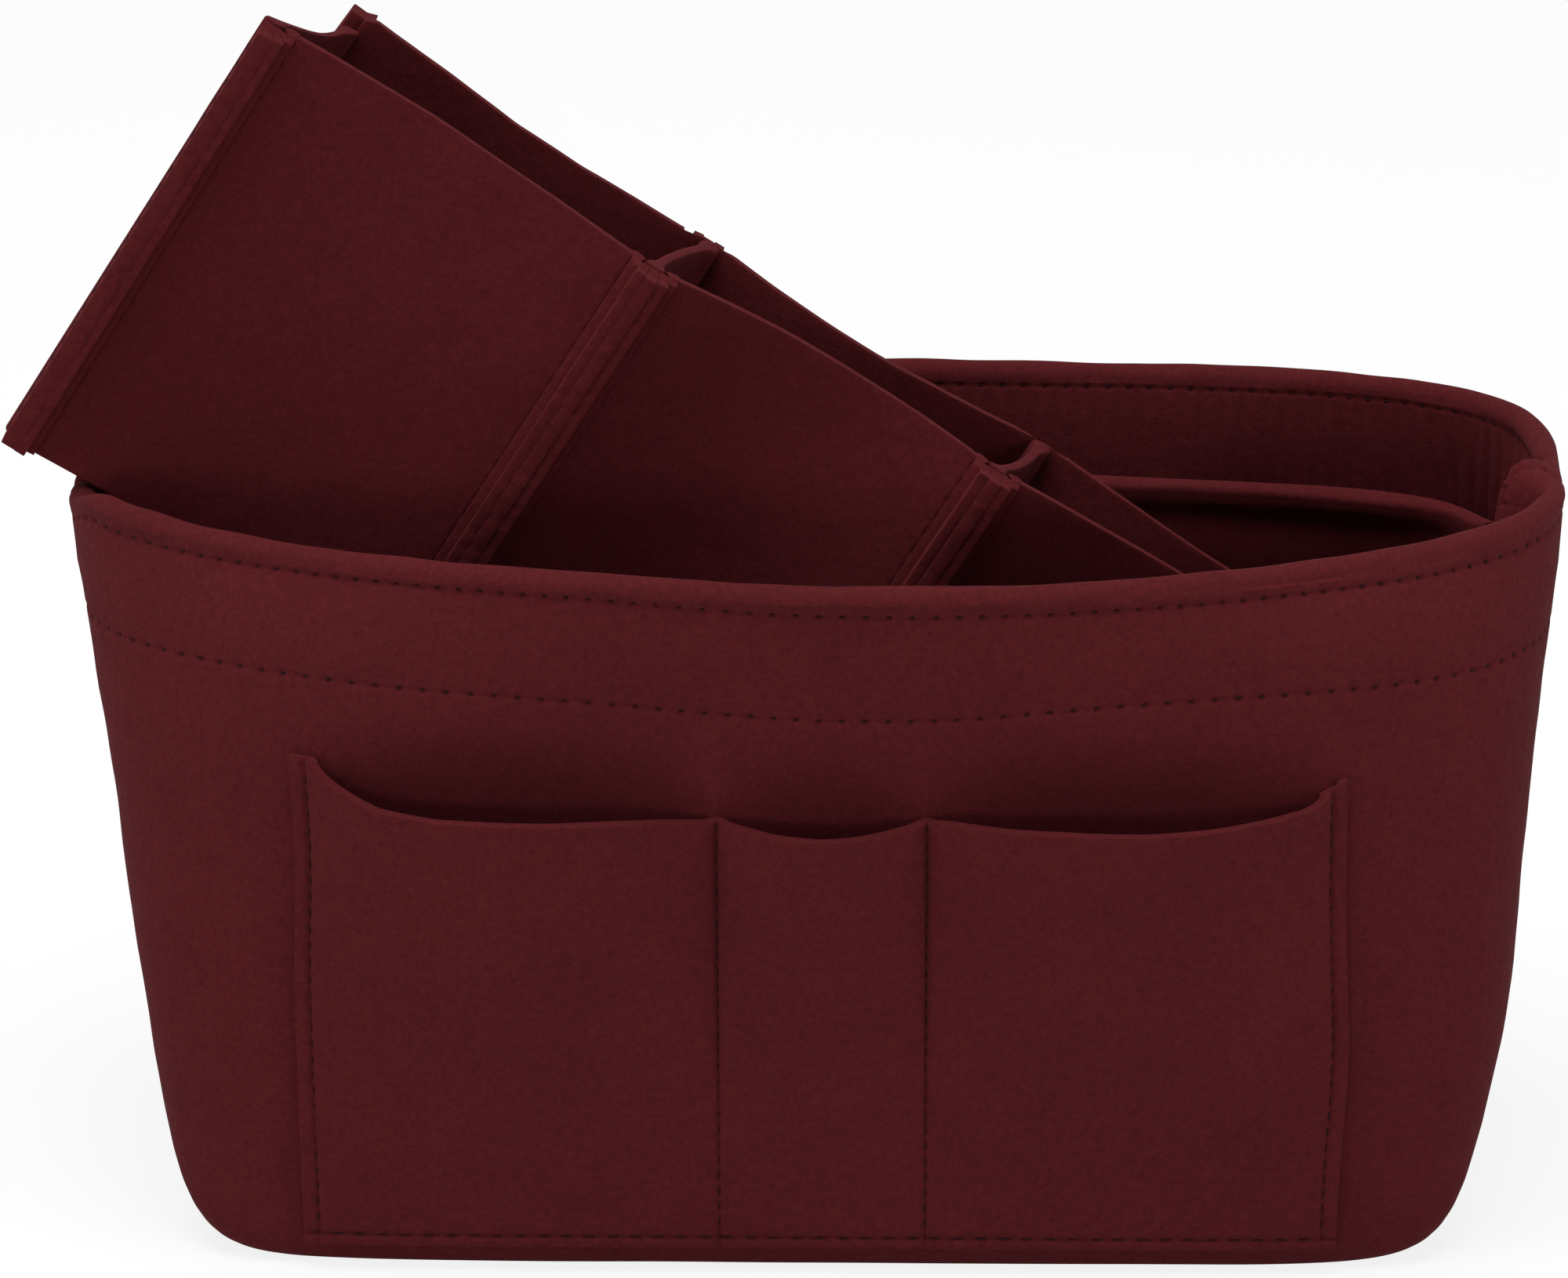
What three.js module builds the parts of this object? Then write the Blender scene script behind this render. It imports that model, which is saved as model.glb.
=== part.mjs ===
// Felt organizer insert for a handbag: an oval open-topped body with a turned-in hem,
// three pockets on its front, a pocket inside its back wall, and a loose tray of three
// cells that leans out over the left end of the rim.
// Millimetres, +Z up, +X to the right as seen from the front, front facing -Y.
// The origin is the middle of the base, on the surface that the insert stands on.

import * as THREE from 'three';

// Body: outer sizes
const rimLength = 302.5;
const rimFrontDepth = 76;
const rimBackDepth = 75;
const baseLength = 260;
const baseDepth = 122;
const bodyHeight = 150;
const rimLean = 3.5;

// Body: how boxy the oval is, as superellipse exponents (2 is an ellipse)
const rimFrontRoundness = 2.0;
const rimBackRoundness = 3.8;
const baseRoundness = 8.4;

// Body: the walls turn under at the base, far at the ends and little at the faces
const endTuckLength = 14;
const endTuckHeight = 44;
const faceTuckLength = 5;
const faceTuckHeight = 7;

// Body: felt, hem and the gap that touching pieces keep
const felt = 2.5;
const hemDrop = 29;
const hemFlare = 1.2;
const pieceGap = 0.3;
const hemRowDrops = { upper: 9, lower: 27 };
const threadThickness = 0.7;

// Body: the rim sinks under the tray at the left end
const rimDip = 4.5;
const dipReach = 22;
const dipFade = 16;
const dipStart = 60;
const dipFull = 20;

// Front pockets: places along X of the two sides and the two seams between the cells
const pocketSides = { left: -103, right: 103 };
const pocketSeams = { left: -20, right: 21 };
const pocketFoot = 6;
const pocketMouthDrop = 49.5;
const pocketFelt = 2.2;
const pocketCornerRise = 11.5;
const pocketCornerReach = 17;
const pocketRowInset = 3;
const pocketBulges = [8, 7, 8.5];
const pocketSags = [0.6, 3.6, 4];

// Pocket inside the back wall: places along the wall, as X on the rim
const innerPocketSeams = { left: -24, right: 24 };
const innerPocketDrop = 23.5;
const innerPocketFoot = 14;
const innerPocketGape = 5.5;
const innerPocketSeat = 0.9;
const innerPocketHem = 14;
const innerPocketStep = 25;
const innerPocketEndAngle = 36;

// Tray: a front and a back strip of three panels with four walls across between them. The
// bows are how far each panel bends into its cell, below 0 out of it.
const trayFelt = 2.2;
const trayHeight = 101.5;
const trayCells = { left: 90, middle: 80, right: 104.4 };
const trayFrontBows = [4, 9.5, 9.5];
const trayBackBows = [-3, 9, 9];
const wallLength = 37;
const wallSkew = 16.9;
const finLength = 6;
const trayFrontFace = -9;
const trayOverhang = 20;
const seatGap = 0.4;

// Fineness of the curved surfaces
const rimSteps = 38;
const pocketSteps = [13, 8, 13];
const pocketLevelShares = [0, 0.04, 0.22, 0.45, 0.68, 0.86, 1];
const pocketBulgeRoundness = 0.8;
const innerPocketLevelShares = [0, 0.04, 0.2, 0.4, 0.58, 0.74, 0.87, 1];
const innerPocketRoundness = 0.6;
const threadSteps = 44;
const rollAngles = [0, 45, 90, 135, 180];
const tuckAngles = [0, 14, 28, 46, 66, 90];
const tuckTurnShares = [0.66, 0.97];
const wallLevelShares = [0.18, 0.4, 0.62, 0.8];
const innerLevelShares = [0.2, 0.48, 0.76];
const bowSteps = 8;
const tiltRounds = 4;

// Felt colours; the raw cut edges of the tray take a little more light
const bodyFeltColour = 0x4e181c;
const trayFeltColour = 0x541a1e;
const threadColour = 0x330d10;

const cloth = (color, roughness) => new THREE.MeshStandardMaterial({ color, roughness, metalness: 0 });
const bodyFelt = () => cloth(bodyFeltColour, 0.95);
const trayFeltCloth = () => cloth(trayFeltColour, 0.95);
const sewingThread = () => cloth(threadColour, 0.8);

const { lerp, smoothstep, degToRad } = THREE.MathUtils;

// Body surface

const halfRim = rimLength / 2;
const hemFoot = bodyHeight - hemDrop;
const hemRadius = felt + pieceGap / 2;

// Half length, half depth and roundness of the plan outline at a height
function planAt(height, side) {
  const rise = height / bodyHeight;
  const rimDepth = side < 0 ? rimFrontDepth : rimBackDepth;
  const rimRoundness = side < 0 ? rimFrontRoundness : rimBackRoundness;
  return {
    length: lerp(baseLength / 2, halfRim, rise),
    depth: lerp(baseDepth / 2, rimDepth, rise),
    roundness: lerp(baseRoundness, rimRoundness, rise),
  };
}

// Point of a superellipse in the direction of an angle, with its outward normal
function ovalPoint(angle, side, plan, tuck) {
  const cosine = Math.cos(angle);
  const sine = Math.abs(Math.sin(angle));
  const n = plan.roundness;
  const reach = (Math.abs(cosine) ** n + sine ** n) ** (-1 / n);
  const length = plan.length - tuck * endTuckLength;
  const depth = plan.depth - tuck * faceTuckLength;
  const x = length * reach * cosine;
  const y = depth * reach * sine * side;
  const slopeX = Math.sign(cosine) * Math.abs(reach * cosine) ** (n - 1) / length;
  const slopeY = side * (reach * sine) ** (n - 1) / depth;
  return { x, y, normal: new THREE.Vector3(slopeX, slopeY, 0).normalize() };
}

// How far the wall's foot has turned under: 0 on the wall, 1 on the table
function tuckHeightAt(angle) {
  return lerp(faceTuckHeight, endTuckHeight, smoothstep(Math.abs(Math.cos(angle)), ...tuckTurnShares));
}

// Tray across its width: the pivots of its walls lie just inside its two strips
const pivotInset = trayFelt / 2 + pieceGap;
const skew = degToRad(wallSkew);
const stripShift = wallLength * Math.sin(skew);
const stripSpacing = 2 * pivotInset + wallLength * Math.cos(skew);
const trayMiddle = trayFrontFace + trayFelt + stripSpacing / 2;

// The made body isn't quite true: its ends lean to the left, and its rim sinks under the tray
function settle(point) {
  const rise = point.z / bodyHeight;
  const across = Math.max(0, Math.abs(point.y - trayMiddle) - dipReach);
  const bump = 1 - smoothstep(across, 0, dipFade);
  const nearLeft = smoothstep(-point.x, halfRim - dipStart, halfRim - dipFull);
  const dip = rimDip * bump * nearLeft * rise ** 2;
  const lean = rimLean * rise * Math.abs(point.x / halfRim) ** 3;
  return new THREE.Vector3(point.x - lean, point.y, point.z - dip);
}

// Body point before it settles, on the wall at a height, moved outward by an offset
function wallPoint(angle, side, height, offset) {
  const { x, y, normal } = ovalPoint(angle, side, planAt(height, side), 0);
  return new THREE.Vector3(x, y, height).addScaledVector(normal, offset);
}

// Body point before it settles, where the wall turns under, moved inward by a depth
function tuckPoint(angle, side, turn, depth) {
  const height = tuckHeightAt(angle) * (1 - Math.cos(turn));
  const { x, y, normal } = ovalPoint(angle, side, planAt(height, side), 1 - Math.sin(turn));
  const inward = normal.multiplyScalar(-Math.sin(turn) * depth);
  return new THREE.Vector3(x, y, height + Math.cos(turn) * depth).add(inward);
}

// Solids from rings of points

function signedVolume(points, faces) {
  let sum = 0;
  for (let i = 0; i < faces.length; i += 3) {
    const [a, b, c] = [points[faces[i]], points[faces[i + 1]], points[faces[i + 2]]];
    sum += a.dot(b.clone().cross(c));
  }
  return sum;
}

function ringNormal(ring) {
  const normal = new THREE.Vector3();
  ring.forEach((point, i) => {
    const next = ring[(i + 1) % ring.length];
    normal.add(point.clone().cross(next));
  });
  return normal.normalize();
}

// Faces that close a ring, cut as a flat outline seen along the ring's normal
function capFaces(ring, start) {
  const normal = ringNormal(ring);
  const turn = new THREE.Quaternion().setFromUnitVectors(normal, new THREE.Vector3(0, 0, 1));
  const outline = ring.map((point) => {
    const flat = point.clone().applyQuaternion(turn);
    return new THREE.Vector2(flat.x, flat.y);
  });
  return THREE.ShapeUtils.triangulateShape(outline, []).map((face) => face.map((i) => start + i));
}

// Closed solid through a row of rings that all have the same number of points
function loft(rings) {
  const size = rings[0].length;
  const points = rings.flat();
  const faces = [];
  for (let i = 0; i + 1 < rings.length; i += 1) {
    for (let j = 0; j < size; j += 1) {
      const k = (j + 1) % size;
      const near = i * size;
      const far = near + size;
      faces.push(near + j, near + k, far + k, near + j, far + k, far + j);
    }
  }
  capFaces(rings[0], 0).forEach(([a, b, c]) => faces.push(a, c, b));
  capFaces(rings.at(-1), points.length - size).forEach(([a, b, c]) => faces.push(a, b, c));
  if (signedVolume(points, faces) < 0) faces.reverse();
  const geometry = new THREE.BufferGeometry().setFromPoints(points);
  geometry.setIndex(faces);
  return geometry;
}

function named(name, geometry, material) {
  const mesh = new THREE.Mesh(geometry, material);
  mesh.name = name;
  return mesh;
}

// Angles along one half of the oval, from its left end to its right end
function halfAngles(steps) {
  return Array.from({ length: steps + 1 }, (unused, i) => Math.PI * (1 - i / steps));
}

// One half of the body's wall: up the outside, over the rim, down the hem and the inside
function shellRing(angle, side) {
  const foot = tuckHeightAt(angle);
  const shoulder = bodyHeight - hemRadius;
  const levels = wallLevelShares.map((share) => lerp(foot, shoulder, share));
  const inner = innerLevelShares.map((share) => lerp(hemFoot, foot, share));
  const turns = tuckAngles.map(degToRad);
  const ring = turns.map((turn) => tuckPoint(angle, side, turn, 0));
  levels.forEach((height) => ring.push(wallPoint(angle, side, height, 0)));
  rollAngles.map(degToRad).forEach((turn) => {
    const point = wallPoint(angle, side, shoulder, hemRadius * (Math.cos(turn) - 1));
    point.z += hemRadius * Math.sin(turn);
    ring.push(point);
  });
  ring.push(wallPoint(angle, side, hemFoot + hemFlare, -2 * hemRadius));
  ring.push(wallPoint(angle, side, hemFoot, -2 * hemRadius - hemFlare));
  ring.push(wallPoint(angle, side, hemFoot, -hemRadius - hemFlare));
  ring.push(wallPoint(angle, side, hemFoot + hemFlare, -felt));
  inner.forEach((height) => ring.push(wallPoint(angle, side, height, -felt)));
  turns.reverse().forEach((turn) => ring.push(tuckPoint(angle, side, turn, felt)));
  return ring.map((point) => {
    const settled = settle(point);
    settled.y += side * pieceGap / 2;
    return settled;
  });
}

function shellHalf(name, side) {
  const rings = halfAngles(rimSteps).map((angle) => shellRing(angle, side));
  return named(name, loft(rings), bodyFelt());
}

// The base closes the bottom between the turned-under feet of the two halves
function basePanel() {
  const outline = [-1, 1].flatMap((side) => {
    const half = halfAngles(rimSteps).slice(0, -1);
    return half.map((angle) => {
      const turned = side < 0 ? angle : Math.PI - angle;
      const { x, y, normal } = ovalPoint(turned, side, planAt(0, side), 1);
      return new THREE.Vector2(x - normal.x * pieceGap, y - normal.y * pieceGap);
    });
  });
  const geometry = new THREE.ExtrudeGeometry(new THREE.Shape(outline), { depth: felt, bevelEnabled: false });
  return named('base_panel', geometry, bodyFelt());
}

// Front pockets

// Place on the front wall at an X and a height, moved outward by an offset
function frontPoint(x, height, offset) {
  const plan = planAt(height, -1);
  const share = Math.abs(x) / plan.length;
  const n = plan.roundness;
  const y = -plan.depth * (1 - share ** n) ** (1 / n);
  const slopeX = Math.sign(x) * share ** (n - 1) / plan.length;
  const slopeY = -((Math.abs(y) / plan.depth) ** (n - 1)) / plan.depth;
  const normal = new THREE.Vector3(slopeX, slopeY, 0).normalize();
  return new THREE.Vector3(x, y, height).addScaledVector(normal, offset);
}

const pocketMouth = bodyHeight - pocketMouthDrop;
const pocketLines = [pocketSides.left + pocketRowInset, pocketSeams.left,
  pocketSeams.right, pocketSides.right - pocketRowInset];

// Which cell an X is in and how far across it, 0 at one seam and 1 at the next
function pocketCell(x) {
  const cell = [1, 2].filter((i) => x > pocketLines[i]).length;
  const across = (x - pocketLines[cell]) / (pocketLines[cell + 1] - pocketLines[cell]);
  return { cell, across: Math.min(1, Math.max(0, across)) };
}

function pocketTop(x) {
  const { cell, across } = pocketCell(x);
  const fromSide = Math.min(x - pocketSides.left, pocketSides.right - x);
  const corner = Math.min(1, Math.max(0, 1 - (fromSide - pocketRowInset) / pocketCornerReach));
  return pocketMouth - pocketSags[cell] * Math.sin(Math.PI * across) + pocketCornerRise * corner ** 2;
}

// How far the pocket cloth stands off the wall: not at its seams, most at its mouth
function pocketStand(x, height) {
  const { cell, across } = pocketCell(x);
  const up = smoothstep(height, pocketFoot + pocketRowInset, pocketMouth);
  return pieceGap + pocketBulges[cell] * Math.sin(Math.PI * across) ** pocketBulgeRoundness * up;
}

function pocketStations() {
  const edges = [pocketSides.left, ...pocketLines, pocketSides.right];
  const counts = [1, ...pocketSteps, 1];
  const stations = counts.flatMap((count, cell) => (
    Array.from({ length: count }, (unused, i) => lerp(edges[cell], edges[cell + 1], i / count))
  ));
  return [...stations, edges.at(-1)];
}

function frontPocketPanel() {
  const rings = pocketStations().map((x) => {
    const heights = pocketLevelShares.map((share) => lerp(pocketFoot, pocketTop(x), share));
    const outside = heights.map((height) => frontPoint(x, height, pocketStand(x, height) + pocketFelt));
    const inside = heights.map((height) => frontPoint(x, height, pocketStand(x, height))).reverse();
    return [...outside, ...inside].map(settle);
  });
  return named('front_pocket_panel', loft(rings), bodyFelt());
}

// Pocket inside the back wall

const innerPocketTop = bodyHeight - innerPocketDrop;
const innerPocketLines = (() => {
  const start = degToRad(180 - innerPocketEndAngle);
  const end = degToRad(innerPocketEndAngle);
  const plan = planAt(innerPocketTop, 1);
  const seamAngle = (x) => Math.atan2(1, x / plan.length);
  return [start, seamAngle(innerPocketSeams.left), seamAngle(innerPocketSeams.right), end];
})();

// How far the pocket's wall side lies inside the body: near its mouth it passes in front of
// the body's hem, and between its seams it gapes
function innerPocketStand(across, height) {
  const past = smoothstep(height, hemFoot - innerPocketStep, hemFoot - hemFlare);
  const seat = innerPocketSeat + lerp(felt, 2 * hemRadius + hemFlare, past);
  const up = smoothstep(height, innerPocketFoot, innerPocketTop);
  return seat + innerPocketGape * Math.sin(Math.PI * across) ** innerPocketRoundness * up;
}

// Up the pocket's wall side, over its folded mouth, down its hem and its room side
function innerPocketRing(angle, across) {
  const roll = pocketFelt + pieceGap / 2;
  const shoulder = innerPocketTop - roll;
  const fold = innerPocketTop - innerPocketHem;
  const place = (height, depth) => footPoint(angle, height, innerPocketStand(across, height) + depth);
  const levels = innerPocketLevelShares.map((share) => lerp(innerPocketFoot, shoulder, share));
  const ring = levels.map((height) => place(height, 0));
  rollAngles.slice(1).map(degToRad).forEach((turn) => {
    const point = place(shoulder, roll * (1 - Math.cos(turn)));
    point.z += roll * Math.sin(turn);
    ring.push(point);
  });
  ring.push(place(fold, 2 * roll), place(fold, pocketFelt));
  innerLevelShares.forEach((share) => {
    ring.push(place(lerp(fold, innerPocketFoot, share), pocketFelt));
  });
  ring.push(place(innerPocketFoot, pocketFelt));
  return ring.map(settle);
}

function innerPocketPanel() {
  const rings = [];
  innerPocketLines.slice(0, -1).forEach((line, cell) => {
    const count = pocketSteps[cell];
    for (let i = cell === 0 ? 0 : 1; i <= count; i += 1) {
      const angle = lerp(line, innerPocketLines[cell + 1], i / count);
      rings.push(innerPocketRing(angle, i / count));
    }
  });
  return named('inner_back_pocket', loft(rings), bodyFelt());
}

// Place inside the back wall at a height, also where the wall already turns under
function footPoint(angle, height, depth) {
  const foot = tuckHeightAt(angle);
  if (height >= foot) return wallPoint(angle, 1, height, -depth);
  const turn = Math.acos(1 - height / foot);
  const plan = planAt(height, 1);
  const { x, y, normal } = ovalPoint(angle, 1, plan, 1 - Math.sin(turn));
  return new THREE.Vector3(x, y, height).addScaledVector(normal, -depth / Math.sin(turn));
}

// Rows of stitching, as one thread each that lies on the felt

// Loft of a four-sided thread through places given with the directions across it
function thread(name, stations) {
  const half = threadThickness / 2;
  const rings = stations.map(({ point, out, along }) => [
    point.clone().addScaledVector(out, half),
    point.clone().addScaledVector(along, half),
    point.clone().addScaledVector(out, -half),
    point.clone().addScaledVector(along, -half),
  ].map(settle));
  return named(name, loft(rings), sewingThread());
}

const threadStand = pieceGap + threadThickness / 2;

function rimThread(name, side, drop) {
  const inset = halfAngles(threadSteps).slice(1, -1);
  const up = new THREE.Vector3(0, 0, 1);
  const stations = inset.map((angle) => {
    const height = bodyHeight - drop;
    const { normal } = ovalPoint(angle, side, planAt(height, side), 0);
    return { point: wallPoint(angle, side, height, threadStand), out: normal, along: up };
  });
  return thread(name, stations);
}

function pocketSeamThread(name, x) {
  const foot = pocketFoot + pocketRowInset;
  const stations = pocketLevelShares.map((share) => {
    const height = lerp(foot + threadThickness, pocketTop(x) - threadThickness, share);
    const stand = pocketStand(x, height) + pocketFelt + threadStand;
    return {
      point: frontPoint(x, height, stand),
      out: new THREE.Vector3(0, -1, 0),
      along: new THREE.Vector3(1, 0, 0),
    };
  });
  return thread(name, stations);
}

function pocketFootThread() {
  const foot = pocketFoot + pocketRowInset - threadThickness;
  const up = new THREE.Vector3(0, 0, 1);
  const stations = pocketStations().slice(1, -1).map((x) => ({
    point: frontPoint(x, foot, pocketStand(x, foot) + pocketFelt + threadStand),
    out: new THREE.Vector3(0, -1, 0),
    along: up,
  }));
  return thread('pocket_foot_thread', stations);
}

// The seams of the inner pocket go through the back wall and show on its outside
function innerPocketThread(name, angle) {
  const top = bodyHeight - hemRowDrops.lower - 2 * threadThickness;
  const stations = pocketLevelShares.map((share) => {
    const height = lerp(innerPocketFoot, top, share);
    return {
      point: wallPoint(angle, 1, height, threadStand),
      out: new THREE.Vector3(0, 1, 0),
      along: new THREE.Vector3(1, 0, 0),
    };
  });
  return thread(name, stations);
}

// Tray, laid out flat: X along it, Y from its front strip to its back strip, Z up its walls

const trayRoots = [0, trayCells.left, trayCells.left + trayCells.middle,
  trayCells.left + trayCells.middle + trayCells.right];
const layerSet = trayFelt / 2 + pieceGap;

// Outline of a strip of felt that follows a line of points
function stripShape(line, thickness) {
  const half = thickness / 2;
  const edge = (sign) => line.map((point, i) => {
    const before = line[Math.max(0, i - 1)];
    const after = line[Math.min(line.length - 1, i + 1)];
    const first = point.clone().sub(i > 0 ? before : point).normalize();
    const second = (i < line.length - 1 ? after : point).clone().sub(point).normalize();
    const into = i > 0 ? first : second;
    const out = i < line.length - 1 ? second : first;
    const normal = new THREE.Vector2(-into.y - out.y, into.x + out.x).normalize();
    const stretch = normal.dot(new THREE.Vector2(-into.y, into.x));
    return point.clone().addScaledVector(normal, sign * half / stretch);
  });
  return new THREE.Shape([...edge(1), ...edge(-1).reverse()]);
}

function upright(name, shape) {
  const geometry = new THREE.ExtrudeGeometry(shape, { depth: trayHeight, bevelEnabled: false, curveSegments: 6 });
  return named(name, geometry, trayFeltCloth());
}

// Where a strip's felt lies beside a wall's root
function rootPlace(strip, index) {
  const root = trayRoots[index] + (strip > 0 ? stripShift : 0);
  const face = strip > 0 ? stripSpacing : 0;
  return { root, face, middle: face + strip * trayFelt / 2 };
}

// A panel that bows between its two ends, which turn outward as fins
function trayPanel(name, strip, cell) {
  const left = rootPlace(strip, cell);
  const right = rootPlace(strip, cell + 1);
  const set = layerSet + trayFelt / 2;
  const bends = [
    new THREE.Vector2(left.root + set, left.middle),
    new THREE.Vector2(right.root - set, right.middle),
  ];
  const bow = (strip > 0 ? trayBackBows : trayFrontBows)[cell];
  const curve = Array.from({ length: bowSteps + 1 }, (unused, i) => {
    const share = i / bowSteps;
    const point = bends[0].clone().lerp(bends[1], share);
    point.y -= strip * bow * Math.sin(Math.PI * share);
    return point;
  });
  const [first, last] = bends.map(({ x, y }) => new THREE.Vector2(x, y + strip * finLength));
  return upright(name, stripShape([first, ...curve, last], trayFelt));
}

// The sewn-in edge of a cross wall, between or beside the fins of the panels
function wallTab(name, strip, index) {
  const { root, face } = rootPlace(strip, index);
  const start = new THREE.Vector2(root, face);
  const end = new THREE.Vector2(root, face + strip * (finLength + trayFelt / 2));
  return upright(name, stripShape([start, end], trayFelt));
}

// A cross wall with rounded edges, which swings about its back edge
function crossWall(name, index) {
  const half = trayFelt / 2;
  const shape = new THREE.Shape();
  shape.absarc(0, 0, half, 0, Math.PI, false);
  shape.lineTo(-half, -wallLength);
  shape.absarc(0, -wallLength, half, Math.PI, 2 * Math.PI, false);
  const mesh = upright(name, shape);
  mesh.position.set(trayRoots[index] + stripShift, stripSpacing - pivotInset, 0);
  mesh.rotation.z = -skew;
  return mesh;
}

const wallNames = ['left_end_wall', 'left_cross_wall', 'right_cross_wall', 'right_end_wall'];
const cellNames = Object.keys(trayCells);

function tray() {
  const group = new THREE.Group();
  const strips = { front: -1, back: 1 };
  Object.entries(strips).forEach(([stripName, strip]) => {
    cellNames.forEach((cell, i) => group.add(trayPanel(`tray_${stripName}_panel_${cell}`, strip, i)));
    wallNames.forEach((wall, i) => group.add(wallTab(`${wall}_${stripName}_tab`, strip, i)));
  });
  wallNames.forEach((wall, i) => group.add(crossWall(wall, i)));
  return group;
}

// Middle of the rolled rim at its left end, where it passes under a line across the tray
function rimUnder(y) {
  const side = y < 0 ? -1 : 1;
  const { length, depth, roundness: n } = planAt(bodyHeight - hemRadius, side);
  const x = -length * (1 - (Math.abs(y) / depth) ** n) ** (1 / n) + hemRadius;
  return settle(new THREE.Vector3(x, y, bodyHeight - hemRadius));
}

// How the tray rests: its lower edges on the rolled rim at the left end, and the low
// corner of its back strip on the base. The tilt and the rim's highest place under the
// tray depend on each other, so they are found in a few rounds.
function trayRest() {
  const places = [trayFrontFace, trayFrontFace + 2 * trayFelt + stripSpacing].map(rimUnder);
  const reach = hemRadius + seatGap;
  const run = trayRoots.at(-1) + stripShift + trayFelt / 2 - trayOverhang;
  let tilt = 0;
  let rim = places[0];
  for (let round = 0; round < tiltRounds; round += 1) {
    const lift = ({ x, z }) => x * Math.sin(tilt) + z * Math.cos(tilt);
    rim = lift(places[0]) > lift(places[1]) ? places[0] : places[1];
    const drop = rim.z - (felt + seatGap);
    tilt = Math.atan2(reach, run) + Math.asin(drop / Math.hypot(run, reach));
  }
  const x = rim.x + reach * Math.sin(tilt) - trayOverhang * Math.cos(tilt);
  const z = rim.z + reach * Math.cos(tilt) + trayOverhang * Math.sin(tilt);
  return { x, y: trayFrontFace + trayFelt, z, tilt };
}

// The whole insert

const insert = new THREE.Group();
insert.add(shellHalf('shell_front', -1), shellHalf('shell_back', 1), basePanel());
insert.add(frontPocketPanel(), innerPocketPanel());
Object.entries(hemRowDrops).forEach(([row, drop]) => {
  insert.add(rimThread(`rim_thread_${row}_front`, -1, drop));
  insert.add(rimThread(`rim_thread_${row}_back`, 1, drop));
});
['side_left', 'seam_left', 'seam_right', 'side_right'].forEach((place, i) => {
  insert.add(pocketSeamThread(`pocket_thread_${place}`, pocketLines[i]));
});
insert.add(pocketFootThread());
insert.add(innerPocketThread('inner_pocket_thread_left', innerPocketLines[1]));
insert.add(innerPocketThread('inner_pocket_thread_right', innerPocketLines[2]));

const rest = trayRest();
const looseTray = tray();
looseTray.position.set(rest.x, rest.y, rest.z);
looseTray.rotation.y = rest.tilt;
insert.add(looseTray);

export default insert;
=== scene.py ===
import math

import bpy
import numpy as np
from bpy.props import FloatProperty, FloatVectorProperty, PointerProperty
from mathutils import Euler, Matrix, Vector, noise


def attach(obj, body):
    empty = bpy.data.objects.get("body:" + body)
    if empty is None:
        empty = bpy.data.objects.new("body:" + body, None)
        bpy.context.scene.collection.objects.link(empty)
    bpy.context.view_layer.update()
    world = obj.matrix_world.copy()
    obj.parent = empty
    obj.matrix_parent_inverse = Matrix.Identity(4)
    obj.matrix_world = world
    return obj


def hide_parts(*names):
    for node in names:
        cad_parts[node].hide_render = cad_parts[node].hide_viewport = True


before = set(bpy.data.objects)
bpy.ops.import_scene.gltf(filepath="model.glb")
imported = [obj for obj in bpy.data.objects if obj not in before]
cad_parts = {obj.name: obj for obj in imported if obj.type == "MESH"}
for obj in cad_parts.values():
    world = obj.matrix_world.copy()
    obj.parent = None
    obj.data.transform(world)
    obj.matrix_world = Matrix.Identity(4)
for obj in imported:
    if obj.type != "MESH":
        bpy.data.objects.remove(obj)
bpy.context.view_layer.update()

bl_info = {
    "name": "Felt organizer insert",
    "version": (1, 0, 0),
    "blender": (4, 5, 0),
    "location": "View3D > Sidebar > Organizer",
    "description": "Builds a felt handbag organizer with pockets and a loose folding tray",
    "category": "Object",
}

# Lengths are in metres unless a comment says otherwise
GAP = 0.0003
UP = np.array([0.0, 0.0, 1.0])

# Outline of the body, for the front half (-1) and the back half (1): 2 is an ellipse, more is squarer
RIM_ROUNDNESS = {-1: 2.0, 1: 3.8}
BASE_ROUNDNESS = 8.4
# How far the wall turns in at its foot and from which height, and where one changes into the other
END_TUCK = (0.014, 0.044)
FACE_TUCK = (0.005, 0.007)
TUCK_TURN = (0.66, 0.97)
TUCK_SHARPNESS = 0.8
FOOT_TURNS = (0, 8, 16, 24, 33, 42, 52, 62, 72, 81)

# How the sewn shape settles
RIM_LEAN = 0.0035
RIM_DIP = 0.0045
DIP_SIDES = (0.022, 0.038)
DIP_ENDS = (0.060, 0.020)
FRONT_SAG = 0.0013
SAG_LEFT = (-0.050, 0.0)
SAG_RIGHT = (0.030, 0.105)
# Swell of the right end and hollow of the left one: amount and height
END_SHAPES = {1: (0.0018, 0.050), -1: (0.0013, 0.094)}
END_SHAPE_SIZE = 0.022
END_SHAPE_REACH = (0.05, 0.12)
BASE_SHEAR = 0.025

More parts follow.
